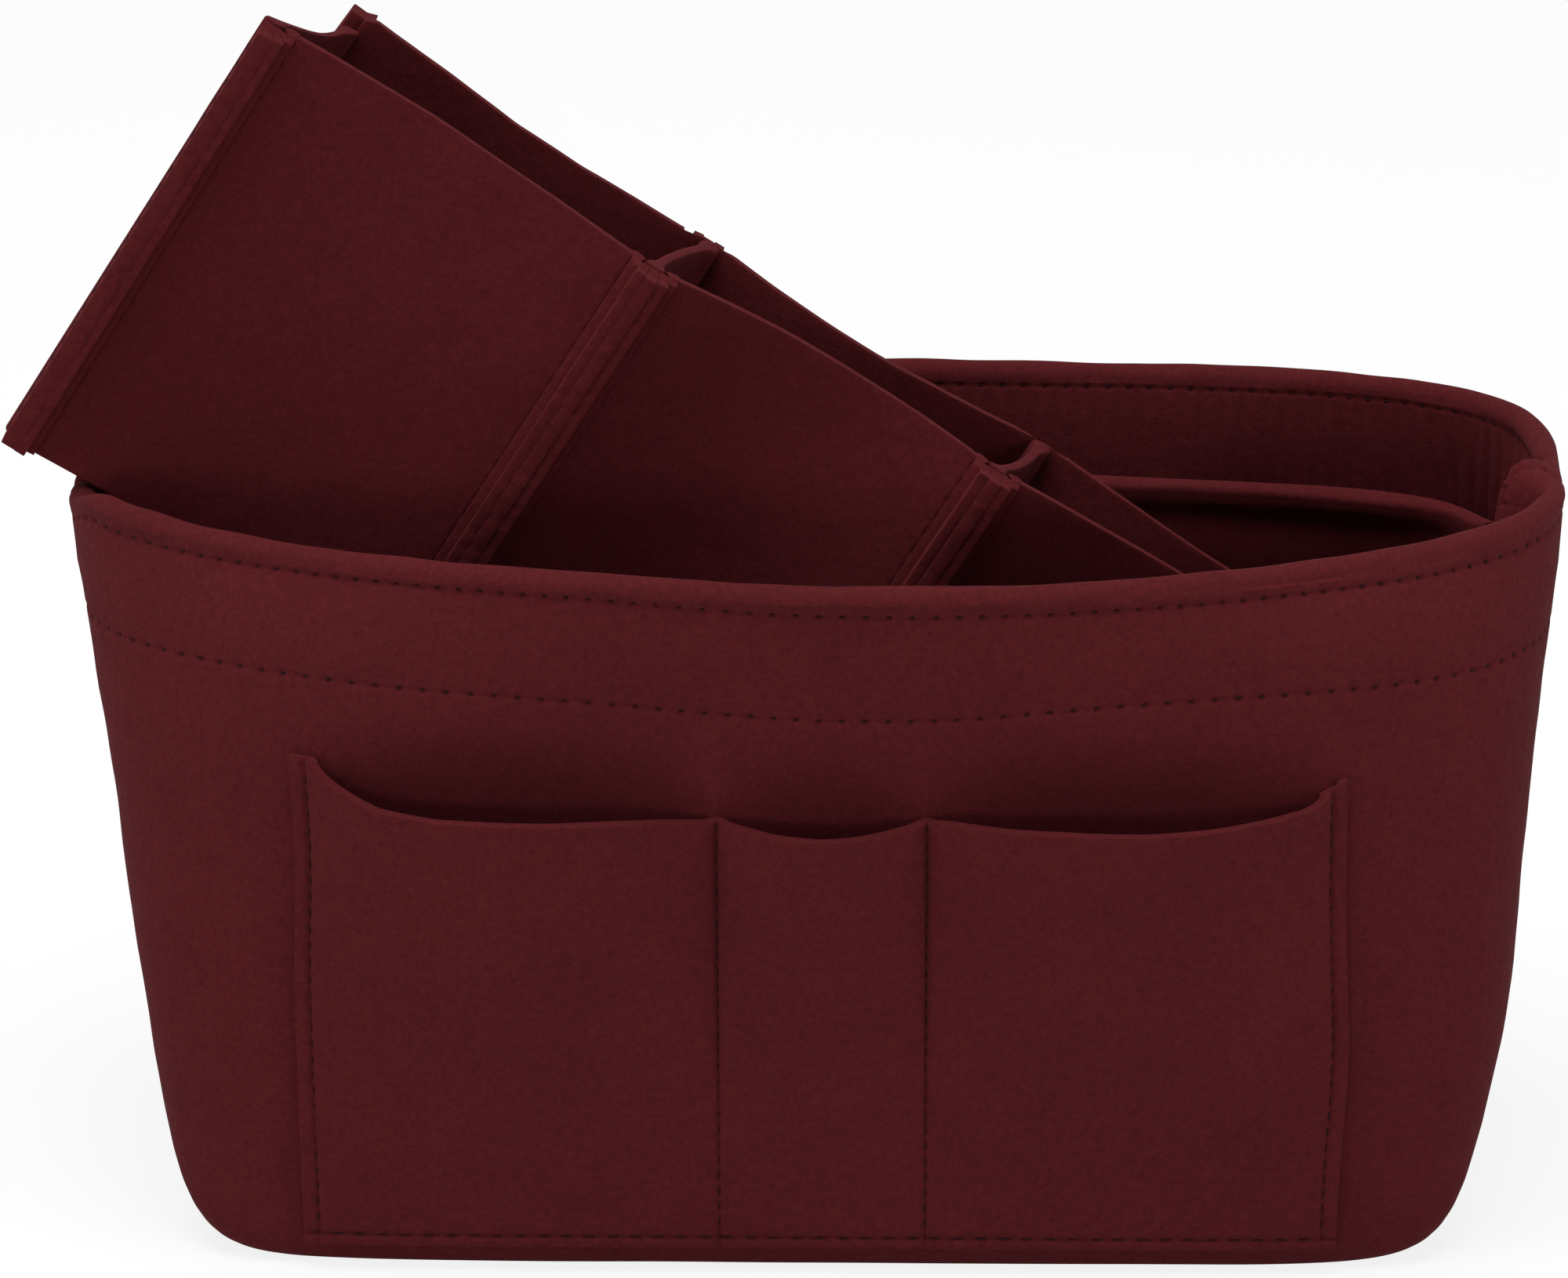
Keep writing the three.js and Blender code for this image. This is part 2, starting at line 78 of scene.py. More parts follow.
# Stitch rows at the rim: place along the front and drop below the rim there, both in mm
FRONT_ROWS = {
    "upper": ((-131, 5.0), (-110, 4.5), (-88, 4.2), (-67, 4.1), (-45, 4.2), (-24, 4.7), (0, 5.5),
              (30, 5.5), (51, 5.1), (83, 5.15), (104, 5.0), (116, 5.3)),
    "lower": ((-131, 23.5), (-109, 23.2), (-88, 23.7), (-67, 24.7), (-45, 25.5), (-24, 26.9), (-2, 27.8),
              (8, 28.1), (19, 27.9), (30, 27.5), (40, 26.4), (51, 25.1), (62, 24.5), (83, 23.8),
              (104, 24.1)),
}
BACK_ROWS = {"upper": 0.0041, "lower": 0.0280}
ROW_SOFTNESS = (-0.012, -0.006, 0, 0.006, 0.012)
ROW_LINES = (-0.0010, -0.0007, -0.0004, -0.00015, 0.00015, 0.0004, 0.0007, 0.0010)
STITCH_COLUMNS = 5
COLUMN_LEVEL = 0.9
PIT_COLUMNS = 0.75
# Sewn grooves: depth, how much deeper under each stitch, and width
RIM_SEWN = (0.00012, 0.00065, 0.00055)
POCKET_SEWN = (0.00045, 0.0003, 0.00055)
FOOT_SEWN = (0.0004, 0.0004, 0.0005)
CREASE_SEWN = (0.0003, 0.0006, 0.0006)
# Distances below the lower row where the shell's even levels end and its close ones begin
ROW_APPROACH = (0.0020, 0.0015)
ROLL_APPROACH = 0.0004

# Felt beside the end seams: amount, distance from the seam, and width
SEAM_GROOVE = (0.0010, 0, 0.0012)
RIM_GROOVE = (0.0009, 0, 0.0014)
HEM_GROOVE = (0.0032, 0, 0.0011)
HEM_LUMP = (0.0022, 0.006, 0.005)
SEAM_RIDGE = (0.0070, 0.0036, 0.0036)
SEAM_NOTCH = (0.0016, 0.0115, 0.0022)
SEAM_LAP = 0.0001
SEAM_CLOSING = 0.004
BASE_LAP = 0.0004
BASE_EDGE = 0.0005
BASE_COLUMNS, BASE_LEVEL = 120, 0.001

ROLL_SWELL = 0.0008
BAND_SWELL = 0.0004
HEM_FLARE = 0.0012
GATHER_DEPTH = 0.0010
GATHER_PACE = 0.95
GATHER_ENDS = (0.60, 0.84)
# Unevenness of the felt: amount, size and seed
FOOT_WAVES = (0.0004, 0.03, 3)
WALL_WAVES = (0.0007, 0.045, 5)
WALL_GRAIN = (0.00022, 0.010, 8)
RIM_WAVES = (0.00035, 0.012, 11)
GATHER_WAVES = (3.0, 0.03, 17)
HEM_WAVES = (0.0004, 0.018, 19)

# Front pockets
POCKET_ROW = 0.003
FOOT_ROW_DROP = 0.0007
POCKET_BULGES = (0.008, 0.007, 0.0085)
MOUTH_DENTS = (0.0052, 0.0042, 0.0054)
DENT_FOOT = (0.055, 0.099)
DENT_TOP = (0.101, 0.120)
# Place along the mouths, and how far each lies above or below the mouths' height, both in mm
MOUTH_LINE = ((-103, 10.7), (-100, 10.5), (-98.6, 9.1), (-96.3, 7.0), (-92.6, 4.9), (-88.9, 3.3),
              (-85.2, 2.0), (-81.5, 1.7), (-74, 1.1), (-66.7, 1.0), (-52, 1.0), (-37.3, 1.2),
              (-30, 1.0), (-23, 0.3), (-20, 0.0), (-15, -0.5), (-10, -1.0), (0, -1.4), (8, -1.1),
              (14, -0.5), (18, 0.1), (21, 0.6), (25, 1.0), (37, 0.7), (48, 0.9), (63, 0.8), (77, 1.2),
              (84.3, 1.8), (88, 2.1), (91.7, 2.6), (95.4, 3.0), (98.6, 4.4), (100, 6.2), (101, 8.0),
              (103, 8.4))
MOUTH_SOFTNESS = (-0.0012, -0.0006, 0, 0.0006, 0.0012)
POCKET_LINES = (-0.0014, -0.0009, -0.00045, 0, 0.00045, 0.0009, 0.0014)
POCKET_EDGE = 0.0012
POCKET_ROUND = 0.0009
POCKET_HEEL = 0.0011
POCKET_COLUMN = 0.00115
FOOT_LINES = (-0.0008, -0.0004, 0, 0.0004, 0.0008, 0.0015)
POCKET_PIT = 0.28
POCKET_WAVES = (0.0004, 0.022, 23)
POCKET_GRAIN = (0.00015, 0.008, 29)

# Inner pocket
INNER_SEAMS = (-0.024, 0.024)
INNER_COLUMNS = (62, 34, 62)
INNER_FOOT = 0.014
INNER_DROP = 0.0201
INNER_GAPE = 0.0080
INNER_LEAN = (0.0055, 1.6)
INNER_LEAN_SHARE = 0.34
INNER_SQUARENESS = 3
INNER_SEAT = 0.0009
INNER_HEM = 0.022
INNER_STEP = 0.025
INNER_END = math.radians(23)
INNER_WAVES = (0.0004, 0.02, 31)
INNER_GRAIN = (0.0002, 0.007, 37)
INNER_PITCH = 0.0042

# Tray, with one entry for each strip (-1 front, 1 back), cell or wall from the left
WALLS = ("left_end_wall", "left_cross_wall", "right_cross_wall", "right_end_wall")
CELLS = ("left", "middle", "right")
STRIPS = {-1: "front", 1: "back"}
TRAY_CELLS = (0.090, 0.080, 0.1044)
BOWS = {-1: (0.0040, 0.0095, 0.0095), 1: (-0.0030, 0.0090, 0.0090)}
# Place along each strip, and how far its upper edge lies below a straight one there, both in mm
TOP_SAGS = {
    -1: ((0, -1.0), (36, -1.2), (61, -0.1), (83, 0.4), (90, 0.6), (106, 0.3), (140, -0.7), (162, -1.5),
         (170, -1.3), (200, -0.4), (225, -0.8), (274.4, -0.5)),
    1: ((0, -0.2), (4, -1.4), (9, -0.8), (25, 0.6), (41, 2.2), (58, 2.7), (74, 1.8), (83, 1.5), (88, 0.7),
        (93, 0.7), (106, 0.8), (125, 0.3), (170, -0.4), (190, -0.2), (230, -0.5), (274.4, 0.0)),
}
END_SHIFT = 0.0048
FIN = 0.006
FIN_DROPS = {-1: (0.0014, 0.0009, 0.0009, 0.0009), 1: (0.0, 0.0012, 0.0016, 0.0020)}
FIN_DROP_START = (0.0008, 0.0035)
FIN_PITCH = 0.0042
FIN_FOOT = 0.003
FIN_PIT = 0.24
FIN_SIDE = 0.0012
CREASE = 0.0046
BEND_SQUARENESS = 7
BEND_RADIUS = 0.0012
BEND_CORE = 0.0010
DROP_REACH = 0.0025
PANEL_COLUMN = 0.0015
WALL_BOWS = (0.0012, -0.0012, 0.0010, -0.0008)
WALL_DISHES = (0.0007, 0.0005, 0.0012, 0.0005)
WALL_DROPS = (0.0026, 0.0, 0.0, 0.0)
BEAD = 0.0023
BEAD_REACH = 0.93
BEAD_NECK = 0.0026
WALL_GRID = (48, 61)
TAB_SWELL = 0.0007
ROWS_UP = 121
FELT_EDGE = 0.0003
WALL_EDGE = 0.0006
# Unevenness of the tray's felt: amount and size
FRAY_FINE = (0.00022, 0.0014)
FRAY_LONG = (0.00010, 0.006)
PANEL_WAVES = (0.0006, 0.03)
PANEL_GRAIN = (0.00015, 0.008)
TOP_WAVES = (0.0003, 0.02)
CROSS_WAVES = (0.0002, 0.01)

# Stitches: length and width; a stitch's ends narrow and bend inwards
RIM_STITCH = (0.0017, 0.00058)
POCKET_STITCH = (0.0026, 0.00045)
INNER_STITCH = (0.0028, 0.0006)
FIN_STITCH = (0.0024, 0.0005)
STITCH_CUTS = (0.2, -0.2)
STITCH_TIP = 0.45
STITCH_BEND = 0.35
THREAD_SINK = {"rim": 0.0005, "pocket": 0.00045, "pocket side": 0.0001, "inner": 0.0001, "crease": 0.0007}
ALONG_STEP = 0.001
# How far the end of a row of stitches keeps from the felt's edge or foot
ROW_ENDS = {"pocket foot": 0.0015, "pocket side": 0.001, "inner": 0.002, "fin": 0.005}

# Stage: each lamp's place, size and power in watts, and the glow that the camera sees
LAMPS = {
    "front softbox": ((-0.3, -2.97, 0.36), (1.8, 0.5), 19),
    "left softbox": ((-2.75, -1.05, 0.80), (1.4, 1.2), 26),
    "right softbox": ((2.75, -1.05, 0.80), (1.4, 1.2), 24),
    "top softbox": ((-0.1, -0.30, 2.15), (1.7, 1.7), 50),
}
LAMP_AIM = (0, 0, 0.08)
ROOM_LIGHT = 0.14
FLOOR_SIZE = 8.0
FLOOR_GLOW = 1.12
FLOOR_GLOW_SHARE = 0.75
WHITE = (1, 1, 1, 1)


def length(name, description, default):
    return FloatProperty(name=name, description=description, default=default, min=0.0, unit="LENGTH")


def position(name, description, default):
    return FloatProperty(name=name, description=description, default=default, unit="LENGTH")


def point(name, description, default):
    return FloatVectorProperty(name=name, description=description, default=default, size=3,
                               subtype="TRANSLATION", unit="LENGTH")


def slope(name, description, default):
    return FloatProperty(name=name, description=description, default=default, subtype="ANGLE")


def colour(name, description, default):
    return FloatVectorProperty(name=name, description=description, default=default, size=3,
                               min=0.0, max=1.0, subtype="COLOR")


class OrganizerBody(bpy.types.PropertyGroup):
    """Sizes and colours of the felt body"""
    rim_length: length("Rim length", "Length of the rim from end to end", 0.3025)
    rim_front: length("Rim front depth", "From the end seams to the front of the rim", 0.076)
    rim_back: length("Rim back depth", "From the end seams to the back of the rim", 0.075)
    base_length: length("Base length", "Length of the body where it stands", 0.260)
    base_depth: length("Base depth", "Depth of the body where it stands", 0.122)
    height: length("Height", "Height of the rim", 0.150)
    felt: length("Felt", "Thickness of the body's felt", 0.0025)
    hem: length("Hem", "How far the hem turns down inside the rim", 0.0308)
    pitch: length("Stitch pitch", "Distance from stitch to stitch at the rim", 0.0045)
    felt_colour: colour("Felt colour", "Colour of the felt's faces", (0.0725, 0.0088, 0.0106))
    edge_colour: colour("Edge colour", "Colour of the felt's cut edges", (0.1000, 0.0150, 0.0175))
    thread_colour: colour("Thread colour", "Colour of the sewing thread", (0.0220, 0.0026, 0.0032))


class OrganizerPockets(bpy.types.PropertyGroup):
    """Sizes of the pockets"""
    left: position("Left side", "Place of the left side along the front", -0.103)
    right: position("Right side", "Place of the right side along the front", 0.103)
    seam_left: position("Left seam", "Place of the left seam", -0.020)
    seam_right: position("Right seam", "Place of the right seam", 0.021)
    foot: length("Foot", "Height of the pockets' lower edge", 0.006)
    mouth: length("Mouth", "Height of the pockets' upper edge at the seams", 0.1005)
    felt: length("Felt", "Thickness of the pockets' felt", 0.0022)
    side_pitch: length("Side pitch", "Distance from stitch to stitch at the sides", 0.0035)
    foot_pitch: length("Foot pitch", "Distance from stitch to stitch along the foot", 0.0046)


class OrganizerTray(bpy.types.PropertyGroup):
    """Sizes, place and colours of the loose tray"""
    height: length("Height", "Height of the tray's panels", 0.1015)
    wall: length("Wall length", "Length of the walls across", 0.037)
    felt: length("Felt", "Thickness of the tray's felt", 0.0022)
    skew: slope("Skew", "How far the walls have folded over", math.radians(16.9))
    tilt: slope("Tilt", "How steeply the tray leans out over the rim", 0.5655560420075104)
    corner: point("Corner", "Place of the tray's lower left front corner", (-0.164822, -0.0068, 0.156300))
    felt_colour: colour("Felt colour", "Colour of the tray's felt", (0.0690, 0.0080, 0.0098))
    edge_colour: colour("Edge colour", "Colour of the tray's cut edges", (0.0920, 0.0125, 0.0145))


class OrganizerStage(bpy.types.PropertyGroup):
    """Camera and floor"""
    azimuth: slope("Azimuth", "Turn of the camera round the insert", math.radians(2.2))
    elevation: slope("Elevation", "Camera's angle above the horizon", math.radians(19.1))
    distance: length("Distance", "From the camera to what it looks at", 1.45)
    aim: point("Aim", "What the camera looks at", (-0.0096, 0.0, 0.1128))
    lens: FloatProperty(name="Lens", description="Focal length in millimetres", default=163.44)
    floor_colour: colour("Floor colour", "Colour of the floor", (0.62, 0.62, 0.62))


def smooth(x, a, b):
    t = np.clip((np.asarray(x, float) - a) / (b - a), 0, 1)
    return t * t * (3 - 2 * t)


def mix(a, b, t):
    return a + (b - a) * t


def hump(x, width):
    return np.exp(-(np.asarray(x, float) / width) ** 2)


def band(x, amount, place, width):
    return amount * hump(x - place, width)


def pits(place, pitch, width):
    """1 at every stitch along a row, falling to 0 between them"""
    return hump((place / pitch + 0.5) % 1 - 0.5, width)


def sewn_groove(sizes, distance, pit):
    """Depth of a sewn groove at a distance from its row, where pit is 1 under a stitch"""
    depth, more, width = sizes
    return (depth + more * pit) * hump(distance, width)


def waves(points, amount, size, seed):
    """Soft unevenness, from -amount to amount, at each point"""
    shift = Vector((seed * 3.7, seed * 1.3, seed * 5.1))
    flat = points.reshape(-1, 3) / size
    return amount * np.array([noise.noise(Vector(p) + shift) for p in flat]).reshape(points.shape[:-1])


def direction(steps):
    """Steps made one long"""
    return steps / np.linalg.norm(steps, axis=1)[:, None]


def table_value(table, places):
    """Value at each place, from a table of places and values in mm"""
    return np.interp(places, *(np.array(table).T / 1000))


def scene_group(name):
    return getattr(bpy.context.scene, f"organizer_{name}")


# Body surface


def plan_at(z, side):
    """Half length, depth and roundness of the outline at a height"""
    s = scene_group("body")
    rise = z / s.height
    depth = s.rim_front if side < 0 else s.rim_back
    return (mix(s.base_length, s.rim_length, rise) / 2, mix(s.base_depth / 2, depth, rise),
            mix(BASE_ROUNDNESS, RIM_ROUNDNESS[side], rise))


def wall(angle, side, z, offset=0, tuck=0):
    """Places on or off the outline at a height, and their outward normals"""
    z = np.broadcast_to(z, angle.shape) + 0.0
    half, depth, n = plan_at(z, side)
    c, s = np.cos(angle), np.abs(np.sin(angle))
    reach = (np.abs(c) ** n + s ** n) ** (-1 / n)
    tuck = 1 - (1 - tuck) ** TUCK_SHARPNESS
    half, depth = half - tuck * END_TUCK[0], depth - tuck * FACE_TUCK[0]
    nx = np.sign(c) * np.abs(reach * c) ** (n - 1) / half
    ny = side * (reach * s) ** (n - 1) / depth
    size = np.hypot(nx, ny)
    normal = np.stack([nx / size, ny / size, 0 * z], -1)
    place = np.stack([half * reach * c, depth * reach * s * side, z], -1)
    return place + normal * np.broadcast_to(offset, z.shape)[:, None], normal


def tuck_height(angle):
    return mix(FACE_TUCK[1], END_TUCK[1], smooth(np.abs(np.cos(angle)), *TUCK_TURN))


def settle(p):
    """The ends lean to the left, the rim sinks under the tray and at the front, and the base skews"""
    s, t = scene_group("body"), scene_group("tray")
    p = np.asarray(p, float)
    rise = p[..., 2] / s.height
    middle = t.corner[1] + strip_spacing() / 2
    half = s.rim_length / 2
    dip = 1 - smooth(np.abs(p[..., 1] - middle), *DIP_SIDES)
    dip = dip * smooth(-p[..., 0], half - DIP_ENDS[0], half - DIP_ENDS[1])
    out = p.copy()
    out[..., 0] -= RIM_LEAN * rise * np.abs(p[..., 0] / half) ** 3
    out[..., 2] -= RIM_DIP * dip * rise ** 2
    for sign, (amount, level) in END_SHAPES.items():
        reach = smooth(sign * p[..., 0], *END_SHAPE_REACH)
        out[..., 0] += band(p[..., 2], amount, level, END_SHAPE_SIZE) * reach
    front = (p[..., 1] < 0) * smooth(p[..., 0], *SAG_LEFT) * (1 - smooth(p[..., 0], *SAG_RIGHT))
    out[..., 2] -= FRONT_SAG * front * np.maximum(rise, 0) ** 3
    out[..., 1] += BASE_SHEAR * p[..., 0] * np.maximum(0, 1 - rise) ** 2
    return out


def even_angles(side, count, z):
    """Angles from the left end to the right end, evenly spaced along the outline, and its length"""
    fine = np.linspace(math.pi, 0, 4001)
    p, _ = wall(fine, side, z)
    run = np.concatenate([[0], np.cumsum(np.linalg.norm(np.diff(p, axis=0), axis=1))])
    return np.interp(np.linspace(0, run[-1], count + 1), run, fine), run[-1]


def rim_columns(side):
    """Angles of a shell's columns, with the same number to every stitch, and the length they span"""
    s = scene_group("body")
    level = s.height * COLUMN_LEVEL
    count = STITCH_COLUMNS * round(even_angles(side, 10, level)[1] / s.pitch)
    return even_angles(side, count, level)


# Pieces made from grids


def deselect():
    if bpy.context.mode != "OBJECT":
        bpy.ops.object.mode_set(mode="OBJECT")
    bpy.ops.object.select_all(action="DESELECT")


def reshape(obj, change):
    """Move all the points of a piece at once"""
    co = np.empty(len(obj.data.vertices) * 3)
    obj.data.vertices.foreach_get("co", co)
    obj.data.vertices.foreach_set("co", change(co.reshape(-1, 3)).reshape(-1))
    obj.data.update()


def apply_modifier(obj, kind, **settings):
    modifier = obj.modifiers.new(kind.lower(), kind)
    for name, value in settings.items():
        setattr(modifier, name, value)
    bpy.ops.object.modifier_apply(modifier=modifier.name)


def finish_piece(obj, name, materials, body, nodes):
    obj.name = name
    obj.data.name = name
    for material in materials:
        obj.data.materials.append(material)
    deselect()
    obj.select_set(True)
    bpy.context.view_layer.objects.active = obj
    bpy.ops.object.shade_smooth_by_angle(angle=math.radians(40))
    if nodes:
        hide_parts(*nodes)
    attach(obj, body)


def finish_felt(obj, name, kind, body, node):
    finish_piece(obj, f"felt_{name}", felt_materials(kind), body, [node])


def felt_sheet(points, thickness, edge=0.0, edge_finish=-1):
    """A grid laid over points[column, row], given its thickness behind its face and soft edges"""
    columns, rows = points.shape[0] - 1, points.shape[1] - 1
    deselect()
    bpy.ops.mesh.primitive_grid_add(x_subdivisions=columns, y_subdivisions=rows, size=1.0)
    obj = bpy.context.active_object

    def lay(co):
        if len(co) != (columns + 1) * (rows + 1):
            raise RuntimeError(f"grid has {len(co)} points, not {(columns + 1) * (rows + 1)}")
        i = np.rint((co[:, 0] + 0.5) * columns).astype(int)
        j = np.rint((co[:, 1] + 0.5) * rows).astype(int)
        return points[i, j]

    reshape(obj, lay)
    apply_modifier(obj, "SOLIDIFY", thickness=thickness, offset=-1, use_even_offset=False,
                   material_offset_rim=1)
    if edge:
        apply_modifier(obj, "BEVEL", width=edge, segments=2, material=edge_finish, limit_method="ANGLE",
                       angle_limit=math.radians(62), use_clamp_overlap=True)
    return obj


def stitch_pieces(places, along, out, size, width):
    """One sewn stitch, copied to every place and joined into one mesh"""
    deselect()
    bpy.ops.mesh.primitive_cylinder_add(vertices=6, radius=0.5, depth=1.0, end_fill_type="NGON")
    proto = bpy.context.active_object
    bpy.ops.object.mode_set(mode="EDIT")
    for cut in STITCH_CUTS:
        bpy.ops.mesh.select_all(action="SELECT")
        bpy.ops.mesh.bisect(plane_co=(0, 0, cut), plane_no=(0, 0, 1))
    bpy.ops.object.mode_set(mode="OBJECT")
    base = np.array([v.co for v in proto.data.vertices])
    ends = np.abs(base[:, 2]) > 0.4
    base[ends, :2] *= STITCH_TIP
    faces = [tuple(p.vertices) for p in proto.data.polygons]
    mesh = proto.data
    bpy.data.objects.remove(proto)
    bpy.data.meshes.remove(mesh)
    across = np.cross(along, out)
    rise = base[:, 1] * width - np.where(ends, STITCH_BEND * width, 0.0)
    verts, polys = [], []
    for k in range(len(places)):
        verts.append(places[k] + np.outer(base[:, 2] * size, along[k])
                     + np.outer(base[:, 0] * width, across[k]) + np.outer(rise, out[k]))
        polys.extend(tuple(n + len(base) * k for n in face) for face in faces)
    mesh = bpy.data.meshes.new("stitches")
    mesh.from_pydata(np.concatenate(verts).tolist(), [], polys)
    mesh.update()
    obj = bpy.data.objects.new("stitches", mesh)
    bpy.context.scene.collection.objects.link(obj)
    return obj


# Materials


def shader_node(tree, kind, inputs=None, **settings):
    """A shader node; an input that is given another node's output is linked to it"""
    node = tree.nodes.new("ShaderNode" + kind)
    for name, value in settings.items():
        setattr(node, name, value)
    for name, value in (inputs or {}).items():
        if isinstance(value, bpy.types.NodeSocket):
            tree.links.new(value, node.inputs[name])
        else:
            node.inputs[name].default_value = value
    return node


def new_material(name):
    """A material with an empty node tree, or the one that is there already and no tree"""
    material = bpy.data.materials.get(name)
    if material:
        return material, None
    material = bpy.data.materials.new(name)
    material.use_nodes = True
    material.node_tree.nodes.clear()
    return material, material.node_tree


def math_node(tree, operation, first, second):
    return shader_node(tree, "Math", {0: first, 1: second}, operation=operation).outputs[0]


def tinted(tree, base, shade):
    return shader_node(tree, "VectorMath", {0: base, "Scale": shade}, operation="SCALE").outputs["Vector"]


def grain(tree, place, scale, detail, roughness=0.5, distortion=0.0):
    return shader_node(tree, "TexNoise", {"Vector": place, "Scale": scale, "Detail": detail,
                                          "Roughness": roughness, "Distortion": distortion}).outputs["Fac"]


def spread(tree, value, low, high):
    """Value spread from low's (place, shade) to high's"""
    return shader_node(tree, "MapRange", {"Value": value, "From Min": low[0], "From Max": high[0],
                                          "To Min": low[1], "To Max": high[1]}).outputs["Result"]


def felt_material(name, base, fuzz=1.0):
    """Pressed wool felt: mottled, with fine tangled fibres that stand off the surface"""
    material, tree = new_material(name)
    if tree is None:
        return material
    place = shader_node(tree, "TexCoord").outputs["Object"]
    cloud = spread(tree, grain(tree, place, 38, 3), (0.3, 0.95), (0.7, 1.05))
    fleck = spread(tree, grain(tree, place, 900, 3, 0.6, 0.6), (0.33, 0.84), (0.67, 1.16))
    fibre = spread(tree, grain(tree, place, 320, 2, 0.5, 3.5), (0.3, 0.92), (0.7, 1.08))
    shade = math_node(tree, "MULTIPLY", math_node(tree, "MULTIPLY", cloud, fleck), fibre)
    pile = shader_node(tree, "Bump", {"Strength": 0.55 * fuzz, "Distance": 0.0004,
                                      "Height": grain(tree, place, 1500, 4, 0.65, 1.0)})
    lumps = shader_node(tree, "Bump", {"Strength": 0.35, "Distance": 0.0008,
                                       "Height": grain(tree, place, 260, 3),
                                       "Normal": pile.outputs["Normal"]})
    shader = shader_node(tree, "BsdfPrincipled", {
        "Base Color": tinted(tree, base, shade),
        "Roughness": spread(tree, grain(tree, place, 500, 2), (0.3, 0.84), (0.7, 0.98)),
        "Specular IOR Level": 0.06,
        "Sheen Weight": 0.035 * fuzz,
        "Sheen Roughness": 0.6,
        "Sheen Tint": (0.60, 0.16, 0.18, 1),
        "Normal": lumps.outputs["Normal"],
    })
    shader_node(tree, "OutputMaterial", {"Surface": shader.outputs["BSDF"]})
    return material


def thread_material():
    """Spun sewing thread"""
    material, tree = new_material("sewing thread")
    if tree is None:
        return material
    place = shader_node(tree, "TexCoord").outputs["Object"]
    shade = spread(tree, grain(tree, place, 1800, 2), (0.3, 0.7), (0.7, 1.3))
    twist = shader_node(tree, "Bump", {"Strength": 0.5, "Distance": 0.0002,
                                       "Height": grain(tree, place, 2600, 2)})
    shader = shader_node(tree, "BsdfPrincipled", {
        "Base Color": tinted(tree, scene_group("body").thread_colour, shade),
        "Roughness": 0.8,
        "Specular IOR Level": 0.12,
        "Normal": twist.outputs["Normal"],
    })
    shader_node(tree, "OutputMaterial", {"Surface": shader.outputs["BSDF"]})
    return material


def felt_materials(kind):
    """Felt of the body or the tray, and its cut edges, which are fuzzier"""
    s = scene_group(kind)
    return [felt_material(f"{kind} felt", s.felt_colour),
            felt_material(f"{kind} felt cut edge", s.edge_colour, 1.6)]


# Body


def row_heights(low, row, high):
    """Heights from low to high with close ones about a stitch row"""
    return [low, *(row + line for line in ROW_LINES), high]


def stitch_dents(columns, drop):
    """Depth of a rim row's groove, by column and distance from the row"""
    phase = (columns - STITCH_COLUMNS / 2) % STITCH_COLUMNS - STITCH_COLUMNS / 2
    return sewn_groove(RIM_SEWN, drop, hump(phase, PIT_COLUMNS))


def row_drop(row, angles, side):
    """Drop of a stitch row from the rim"""
    if side > 0:
        return np.full(angles.shape, BACK_ROWS[row])
    x = wall(angles, side, scene_group("body").height)[0][..., 0]
    return np.mean([table_value(FRONT_ROWS[row], x + shift) for shift in ROW_SOFTNESS], axis=0)


def mouth_dent(x, z):
    """The front wall gives way behind the gaping pocket mouths"""
    lines = pocket_lines()
    depth = 0
    for low, high, amount in zip(lines[:-1], lines[1:], MOUTH_DENTS):
        across = np.clip((x - low) / (high - low), 0, 1)
        reach = smooth(z, *DENT_FOOT) * (1 - smooth(z, *DENT_TOP))
        depth = depth + amount * np.sin(math.pi * across) ** 0.6 * reach
    return depth


